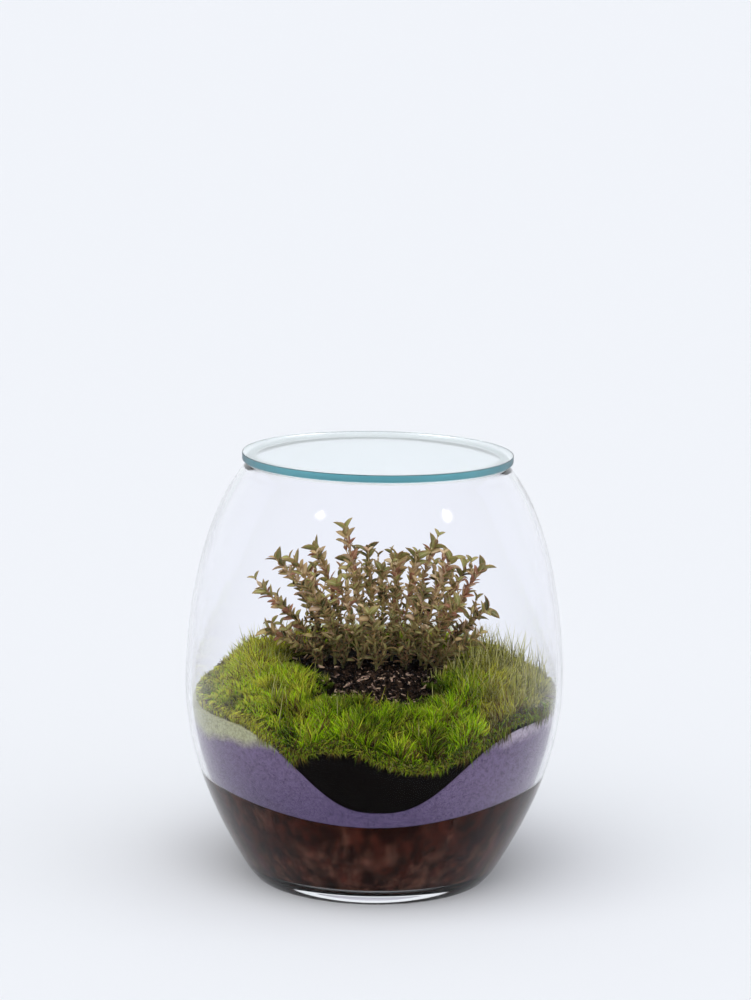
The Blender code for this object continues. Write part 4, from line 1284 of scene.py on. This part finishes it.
    # Where the soil at the glass is shallow, and where it stands back, the fringe hangs lower.
    shallow = (soil_top_edge(angle) - sand_edge(angle) - SOIL_MIN_DEPTH) / 0.006
    shallow = np.clip(1.0 - shallow, 0.0, 1.0) * (1.0 - loose)
    left = rim_share(1.0, angle)
    height = soil_top_edge(angle) + FRINGE_RISE * rng.random(count) ** 1.6 * (1.0 - 0.5 * left)
    root = inside_glass(polar(soil_reach(angle) - FRINGE_ROOT, angle, height), TIP_ROOM)
    clear = FRINGE_STANDOFF * left * rng.uniform(0.7, 1.1, count) - PRESSED * (1.0 - loose)
    drop = FRINGE_DROP[0] + FRINGE_DROP[1] * loose + FRINGE_DROP[0] * shallow
    drop *= np.clip(0.85 + 1.6 * locks, 0.15, 2.0) * rng.uniform(0.2, 1.3, count)
    drop = np.minimum(drop, FRINGE_LONGEST)
    slant = rng.normal(0.0, FRINGE_SLANT, count)
    middle = polar(wall_radius(height - 0.3 * drop) - clear, angle + 0.6 * slant, height - 0.3 * drop)
    tip = polar(wall_radius(height - drop) - clear, angle + slant, height - drop)
    middle, tip = inside_sides(middle, first, last), inside_sides(tip, first, last)
    width = FRINGE_RADIUS * rng.uniform(0.6, 1.4, count)
    places.append(blade_places(model, root, middle, tip, width, rng, -PRESSED))
    dusty = np.where(signed_angle(angle) < 0.0, *DUSTY_ROWS)
    fresh = np.where(rng.random(count) < 0.55, *FRESH_ROWS)
    rows = dusty * loose + fresh * (1.0 - loose) + rng.normal(0.0, 0.09, count)
    long = (drop > FRINGE_LONG) * (1.0 - loose)
    rows = np.where(rng.random(count) < 0.25 + 0.35 * long, DEAD_ROW, rows)
    fringe = blade_shades(model, np.clip(rows, 0.02, 0.98), np.ones(count))
    # Painted shade: darkest where the fringe presses on the glass, lighter where it hangs loose and at the
    # left.
    light = (0.34 + 0.16 * loose + 0.12 * left) * rng.uniform(0.5, 1.5, count)
    fringe[..., 0] = light[:, None] + 0.10 * fringe[..., 0]
    shades.append(np.clip(fringe, *MAP_INSIDE))
    return gather(name, model, np.concatenate(places), np.concatenate(shades))


def plan_shoots():
    """Each shoot's centre line, from the soil to its tip."""
    shoots = []
    for right, back, up in SHOOT_TIPS:
        tip = Vector((right, back, up)) * MILLIMETRE
        tip.y += BASE_SHIFT[1]
        x = BASE_SHIFT[0] + BASE_SHRINK * tip.x
        y = BASE_SHIFT[1] + BASE_SHRINK * (tip.y - BASE_SHIFT[1])
        base = Vector((x, y, float(soil_height_at(x, y))))
        rise = tip - base
        knee = base + Vector((STEM_BOW[0] * rise.x, STEM_BOW[0] * rise.y, STEM_BOW[1] * rise.z))
        shoots.append({"base": base, "knee": knee, "tip": tip, "leaves": [], "twigs": []})
    return shoots


def along(shoot, t):
    """A point on the shoot and its direction there."""
    base, knee, tip = shoot["base"], shoot["knee"], shoot["tip"]
    place = (1 - t) ** 2 * base + 2 * t * (1 - t) * knee + t * t * tip
    heading = (1 - t) * (knee - base) + t * (tip - knee)
    return place, heading.normalized()


def leaf_frame(shoot, t, turn, scale, length, roll, sway):
    """Root, bend and tip of one leaf, and the direction of its width."""
    place, heading = along(shoot, t)
    side = heading.cross(Vector((0.0, 1.0, 0.0))).normalized()
    out = math.cos(turn) * side + math.sin(turn) * side.cross(heading)
    rise = math.radians(TOP_RISE if t > 0.985 else LEAF_RISE[0] + (LEAF_RISE[1] - LEAF_RISE[0]) * t)
    rise += sway
    droop = rise + math.radians(LEAF_RECURVE + (TIP_RECURVE if t > 0.9 else 0.0))
    length = length * scale
    bend = place + length * LEAF_BEND_AT * (math.cos(rise) * heading + math.sin(rise) * out)
    tip = bend + length * (1 - LEAF_BEND_AT) * (math.cos(droop) * heading + math.sin(droop) * out)
    root = place - LEAF_SINK * out
    side = Matrix.Rotation(roll, 3, (tip - root).normalized()) @ heading.cross(out)
    return {"root": root, "bend": bend, "tip": tip, "side": side, "scale": scale, "t": t}


def leaf_probes(leaf, width):
    """Points along a leaf with the half width it has there."""
    probes = []
    for share, fullness in LEAF_PROBES:
        if share < LEAF_BEND_AT:
            place = leaf["root"].lerp(leaf["bend"], share / LEAF_BEND_AT)
        else:
            place = leaf["bend"].lerp(leaf["tip"], (share - LEAF_BEND_AT) / (1 - LEAF_BEND_AT))
        probes.append((place, fullness * leaf["scale"] * width / 2))
    return probes


class Room:
    """What the plant's leaves have to keep clear of: the glass, the ground and each other."""

    def __init__(self, shoots, most):
        self.owners, self.spots, self.sizes = np.empty(most, int), np.empty((most, 3)), np.empty(most)
        self.count = 0
        for owner, shoot in enumerate(shoots):
            for i in range(STEM_PROBES + 1):
                self.take(owner, [(along(shoot, i / STEM_PROBES)[0], STEM_RADIUS)])

    def take(self, owner, probes):
        """Note the room that a leaf or stem takes."""
        for place, size in probes:
            self.owners[self.count] = owner
            self.spots[self.count] = place
            self.sizes[self.count] = size
            self.count += 1

    def is_free(self, probes, owner, lowest, ease):
        """Whether a leaf is clear of the glass, the ground and, less or more, the other shoots."""
        others = self.owners[:self.count] != owner
        spots, sizes = self.spots[:self.count][others], self.sizes[:self.count][others]
        for place, reach in probes:
            if place.z < lowest or math.hypot(place.x, place.y) > wall_radius(place.z) - GLASS_CLEAR:
                return False
            gaps = np.linalg.norm(spots - np.array(place), axis=1)
            if (gaps < ease * (reach + sizes + CLEAR)).any():
                return False
        return True


def grow_leaves(shoots, settings):
    """Place opposite pairs of leaves up every shoot and its side twigs."""
    rng = random.Random(SEED)
    leaves_each = 2 * (settings.pairs + settings.twig_pairs * len(TWIG_SHARES))
    room = Room(shoots, len(shoots) * (STEM_PROBES + 1 + leaves_each * len(LEAF_PROBES)))
    last = settings.pairs - 1

    def grow(owner, line, t, start, size, ease):
        for half in (0.0, math.pi):
            roll = math.radians(rng.uniform(*LEAF_ROLL)) * rng.choice((-1, 1))
            sway = math.radians(rng.gauss(0.0, LEAF_SWAY))
            for scale, turn in ((s, a) for s in LEAF_SCALES for a in LEAF_TURNS):
                around = start + half + math.radians(turn)
                leaf = leaf_frame(line, t, around, size * scale, settings.leaf_length, roll, sway)
                probes = leaf_probes(leaf, settings.leaf_width)
                if room.is_free(probes, owner, shoots[owner]["base"].z + LEAF_LOWEST, ease):
                    shoots[owner]["leaves"].append(leaf)
                    room.take(owner, probes)
                    break

    for pair in range(settings.pairs):
        t = LOWEST_PAIR + (0.99 - LOWEST_PAIR) * pair / last
        topmost = last - pair < len(TOP_SIZES)
        for owner, shoot in enumerate(shoots):
            start = rng.uniform(-LEAF_TWIST, LEAF_TWIST) + (last - pair) * math.pi / 2
            size = rng.uniform(0.65, 1.15) * (0.74 + 0.40 * t)
            if not topmost and rng.random() < SKIPPED[BARE[0] < t < BARE[1]]:
                continue
            if topmost:
                size = rng.uniform(0.95, 1.10) * TOP_SIZES[last - pair]
            grow(owner, shoot, t + rng.uniform(-0.008, 0.004), start, size, LEAF_EASE)
    for owner, shoot in enumerate(shoots):
        for t in TWIG_SHARES:
            twig = side_twig(shoot, t + rng.uniform(-0.04, 0.04), rng)
            if room.is_free([(twig["tip"], 0.001)], owner, shoot["base"].z + 0.003, 0.8):
                shoot["twigs"].append(twig)
                for pair in range(settings.twig_pairs):
                    along_twig = (pair + 1.0) / settings.twig_pairs * 0.98
                    size = rng.uniform(*TWIG_SIZES)
                    grow(owner, twig, along_twig, pair * math.pi / 2, size, TWIG_EASE)


def side_twig(shoot, t, rng):
    """A short twig that leaves the shoot steeply and turns up beside it."""
    base, heading = along(shoot, t)
    heading = (heading + Vector((0.0, 0.0, 0.8))).normalized()
    turn = rng.uniform(0.0, 2.0 * math.pi)
    out = Vector((math.cos(turn), 0.7 * math.sin(turn), 0.0))
    length = rng.uniform(*TWIG_LENGTHS)
    knee = base + length * (0.35 * heading + 0.30 * out)
    tip = base + length * (0.90 * heading + 0.45 * out)
    return {"base": base, "knee": knee, "tip": tip}


def leaf_model():
    """A flat leaf of 2 by 5 faces with a face on either side, from (0, -0.5) to (1, 0.5)."""
    leaf = primitive("grid", "leaf", x_subdivisions=5, y_subdivisions=2, size=1.0)
    edit(leaf, "FACE", "SELECT")
    bpy.ops.transform.translate(value=(0.5, 0.0, 0.0))
    extrude((0.0, 0.0, 1.0))
    face_outward()
    return take_model(leaf)


def leaf_outline(s):
    """Half width of a leaf along it: a narrow stalk, widest before the middle, and a long point."""
    body = np.sin(np.pi * np.clip((s - 0.06) / 0.94, 0.0, 1.0) ** 0.80) ** 0.72
    return np.maximum(body, np.where(s < 0.2, 0.16, 0.03))


def leaf_places(leaf, unit, settings):
    """A leaf model's vertices on one leaf: its midrib through root, bend and tip, its sides folded up."""
    root, bend, tip = (np.array(leaf[end]) for end in ("root", "bend", "tip"))
    s = unit[:, 0]
    along_it = s[:, None]
    # A quadratic curve that passes the bend closely, so that the midrib arches.
    pull = 2.0 * bend - 0.5 * (root + tip)
    middle = bend + 0.55 * (pull - bend)
    spine = (1 - along_it) ** 2 * root + 2 * along_it * (1 - along_it) * middle + along_it * along_it * tip
    heading = unit_vectors((1 - along_it) * (middle - root) + along_it * (tip - middle))
    side = np.array(leaf["side"])
    face = unit_vectors(np.cross(side, heading))
    if face[:, 2].mean() < 0.0:
        face = -face
    across = 2.0 * unit[:, 1]
    half = 0.5 * settings.leaf_width * leaf["scale"] * leaf_outline(s)
    fold = LEAF_FOLD * np.abs(across) * half
    thick = (unit[:, 2] - 0.5) * settings.leaf_thickness * np.where(s > 0.97, 0.4, 1.0)
    return spine + side * (across * half)[:, None] + face * (fold + thick)[:, None]


def leaf_shades(leaf, unit, own, rng):
    """A leaf's places on the shade map: its row from where it grows, and across it from side to side."""
    height = (leaf["root"].z - PLANT_LOW) / PLANT_RISE
    sideways = abs(leaf["root"].x) / PLANT_HALF_WIDTH
    # Higher leaves are lighter: partly their own fresher colour, partly painted light above, painted shade
    # below.
    level = own + 0.02 + 0.54 * height + 0.20 * sideways * height
    level += 0.05 + rng.normal(0.0, 0.22) * min(max(0.35 + 1.6 * height, 0.35), 1.0)
    # The lowest leaves are painted darker still: painted shade at the plant's base.
    level -= 0.14 * (height < 0.25)
    if leaf["t"] > 0.93 and leaf["scale"] > 0.7:
        level = rng.normal(*TOP_LEVEL)
    elif rng.random() < RED_SHARE * min(sideways, 1.0) * (0.25 < height < 0.8):
        level = RED_LEVEL
    row = int(np.clip(level * LEAF_SHADES, 0, LEAF_SHADES - 1))
    across = 0.06 + 0.88 * (unit[:, 1] + 0.5)
    return np.stack([0.01 + 0.98 * unit[:, 0], (row + across) / LEAF_SHADES], -1)


def stem_piece(name, line, low, radii, steps, foot, top):
    """A thin round stem, extruded step by step along its line."""
    stem = primitive("circle", name, vertices=6, radius=radii[0], fill_type="NGON", location=low)
    bpy.ops.object.transform_apply(location=True, rotation=False, scale=False)
    edit(stem, "FACE", "SELECT")
    place, radius = low, radii[0]
    for i in range(1, steps + 1):
        t = i / steps
        following = along(line, t)[0]
        thinner = radii[0] + (radii[1] - radii[0]) * t
        extrude(following - place)
        bpy.ops.transform.resize(value=(thinner / radius,) * 3, center_override=following)
        place, radius = following, thinner
    face_outward()
    places = coordinates(stem.data)
    rise = np.clip((places[:, 2] - foot) / (top - foot), 0.0, 0.999)
    row = np.floor(1.0 + 6.0 * rise)
    across = 0.35 + 0.3 * (np.arange(len(row)) % 2)
    draw_shades(stem.data, np.stack([0.10 + 0.30 * rise, (row + across) / LEAF_SHADES], -1))
    stem.data.shade_smooth()
    return stem


class TERRARIUM_OT_moss(bpy.types.Operator):
    """Lay the five moss pads, each with its coat of blades"""

    bl_idname = "terrarium.moss"
    bl_label = "Moss pads"

    def execute(self, context):
        settings = context.scene.terrarium_moss
        model = blade_model()
        stems = np.array([tuple(along(shoot, t / 8)[0]) for shoot in plan_shoots() for t in range(4)])
        for pad in MOSS_PADS:
            name, node, slot, first, last, inner = pad[:6]
            base = moss_base(name, first, last, inner)
            coat = moss_coat(name + "_coat", model, pad, settings, stems)
            piece = join_pieces(name, [base, coat])
            ready(piece, [living_moss(name.replace("pad", "living"), settings)], slot, node)
        bpy.data.meshes.remove(model)
        return {"FINISHED"}


class TERRARIUM_OT_plant(bpy.types.Operator):
    """Grow the bushy plant, one piece for each leafy shoot"""

    bl_idname = "terrarium.plant"
    bl_label = "Bushy plant"

    def execute(self, context):
        settings = context.scene.terrarium_plant
        finishes = {slot: thin_leaf("thin_" + slot, settings, lift) for slot, lift in SHOOT_SLOTS}
        shoots = plan_shoots()
        grow_leaves(shoots, settings)
        model = leaf_model()
        unit = coordinates(model)
        rng = np.random.default_rng(SEED)
        for number, shoot in enumerate(shoots, 1):
            name = f"plant_shoot_{number:02d}"
            own = rng.normal(0.0, 0.07)
            places = [leaf_places(leaf, unit, settings) for leaf in shoot["leaves"]]
            shades = [leaf_shades(leaf, unit, own, rng) for leaf in shoot["leaves"]]
            low = shoot["base"] - Vector((0.0, 0.0, STEM_DEPTH))
            span = shoot["base"].z, shoot["tip"].z
            stems = [stem_piece(name, shoot, low, STEM_WIDTHS, STEM_STEPS, *span)]
            for twig in shoot["twigs"]:
                stems.append(stem_piece(name + "_twig", twig, twig["base"], TWIG_WIDTHS, TWIG_STEPS, *span))
            piece = join_pieces(name, [*stems, gather(name + "_leaves", model, places, shades)])
            slot = SHOOT_SLOTS[number % len(SHOOT_SLOTS)][0]
            ready(piece, [finishes[slot]], slot, f"shoot_{number:02d}")
        bpy.data.meshes.remove(model)
        return {"FINISHED"}


def painted_board(name, colour):
    """Matt white studio board."""
    return new_finish(name, {"Roughness": 0.9, "Base Color": colour, "Specular IOR Level": 0.1})[0]


def lamp(name, kind, power, colour, facing):
    """A lamp of one kind that faces a direction."""
    data = bpy.data.lights.new(name, kind)
    data.energy = power
    data.color = colour
    thing = in_scene(name, data)
    thing.rotation_euler = Vector(facing).to_track_quat("-Z", "Y").to_euler()
    return thing


def soft_lamp(name, place, size, power):
    """A round softbox that faces the jar's middle and shows only as a highlight on the glass."""
    thing = lamp(name, "AREA", power, (1.0, 1.0, 1.0), Vector(LAMP_AIM) - Vector(place))
    thing.location = place
    thing.data.shape = "DISK"
    thing.data.size = size
    thing.visible_diffuse = False


def soft_sun(name, direction, strength, spread, colour):
    """An even light from one direction, that glass doesn't mirror."""
    thing = lamp(name, "SUN", strength, colour, -Vector(direction))
    thing.data.angle = math.radians(spread)
    thing.visible_glossy = False
    thing.visible_transmission = False


class TERRARIUM_OT_stage(bpy.types.Operator):
    """Set up the pale floor, the backdrop's light, the lamps and the camera"""

    bl_idname = "terrarium.stage"
    bl_label = "Stage"

    def execute(self, context):
        settings = context.scene.terrarium_stage
        floor = primitive(
            "circle", "studio_floor", vertices=96, radius=STUDIO_REACH, fill_type="TRIFAN",
            location=(0.0, 0.0, STUDIO_LEVEL)
        )
        bpy.ops.object.transform_apply(location=True, rotation=False, scale=False)
        floor.data.materials.append(painted_board("studio_board", settings.floor))
        world = bpy.data.worlds.new("studio_light")
        context.scene.world = world
        world.use_nodes = True
        node = partial(add_node, world.node_tree)
        up = node("SeparateXYZ", {0: node("TexCoord").outputs["Generated"]}).outputs["Z"]
        stops = ((0.0, settings.backdrop), (0.35, settings.backdrop), (0.75, settings.overhead))
        fade = node("ValToRGB", {"Fac": up}, stops)
        sockets = {0: node("LightPath").outputs["Is Diffuse Ray"], 6: fade, 7: grey(settings.ambient)}
        background = world.node_tree.nodes["Background"].inputs
        feed(background["Color"], node("Mix", sockets, data_type="RGBA"))
        background["Strength"].default_value = 1.0
        key, fill = settings.key_power, FILL_SHARE * settings.key_power
        soft_sun("key_sun", (-0.45, -0.75, 1.3), key, 70.0, (1.0, 0.99, 0.97))
        soft_sun("fill_sun", (0.65, -0.55, 1.1), fill, 85.0, (0.97, 0.98, 1.0))
        soft_lamp("softbox_left", (-1.07, -0.90, 1.43), 0.22, settings.softbox_power)
        soft_lamp("softbox_right", (1.28, -0.69, 1.37), 0.22, settings.softbox_power)
        data = bpy.data.cameras.new("camera")
        data.lens = settings.lens
        data.sensor_width = 36.0
        data.clip_end = 60.0
        camera = in_scene("camera", data)
        camera.location = CAMERA_PLACE
        aim = Matrix.Rotation(CAMERA_YAW, 3, "Z") @ Matrix.Rotation(math.pi / 2 - CAMERA_PITCH, 3, "X")
        camera.rotation_euler = (aim @ Matrix.Rotation(math.radians(CAMERA_ROLL), 3, "Z")).to_euler()
        context.scene.camera = camera
        context.scene.view_settings.view_transform = "Standard"
        return {"FINISHED"}


class TERRARIUM_PT_sidebar(bpy.types.Panel):
    """Lists the terrarium's pieces in the sidebar"""

    bl_idname = "TERRARIUM_PT_sidebar"
    bl_label = "Planted terrarium"
    bl_space_type = "VIEW_3D"
    bl_region_type = "UI"
    bl_category = "Terrarium"

    def draw(self, context):
        for group, operators in PANEL_ROWS:
            box = self.layout.box()
            settings = getattr(context.scene, group)
            for name in settings.__annotations__:
                box.prop(settings, name)
            for operator in operators:
                box.operator(operator.bl_idname)


PANEL_ROWS = (
    ("terrarium_glass", (TERRARIUM_OT_glass_jar, TERRARIUM_OT_glass_lid)),
    ("terrarium_layers", (TERRARIUM_OT_drainage, TERRARIUM_OT_sand, TERRARIUM_OT_soil)),
    ("terrarium_moss", (TERRARIUM_OT_moss,)),
    ("terrarium_plant", (TERRARIUM_OT_plant,)),
    ("terrarium_stage", (TERRARIUM_OT_stage,)),
)
SETTINGS = {
    "terrarium_glass": GlassSettings,
    "terrarium_layers": LayerSettings,
    "terrarium_moss": MossSettings,
    "terrarium_plant": PlantSettings,
    "terrarium_stage": StageSettings,
}
CLASSES = (
    *SETTINGS.values(),
    *(operator for _, operators in PANEL_ROWS for operator in operators),
    TERRARIUM_PT_sidebar,
)


def register():
    """Register the settings, the operators and the panel."""
    for cls in CLASSES:
        bpy.utils.register_class(cls)
    for name, group in SETTINGS.items():
        setattr(bpy.types.Scene, name, bpy.props.PointerProperty(type=group))


def unregister():
    """Take the settings, the operators and the panel away again."""
    for name in SETTINGS:
        delattr(bpy.types.Scene, name)
    for cls in reversed(CLASSES):
        bpy.utils.unregister_class(cls)


def main():
    """Build every piece and the stage."""
    register()
    bpy.ops.terrarium.stage()
    bpy.ops.terrarium.glass_jar()
    bpy.ops.terrarium.glass_lid()
    bpy.ops.terrarium.drainage()
    bpy.ops.terrarium.sand()
    bpy.ops.terrarium.soil()
    bpy.ops.terrarium.moss()
    bpy.ops.terrarium.plant()


if __name__ == "__main__":
    main()
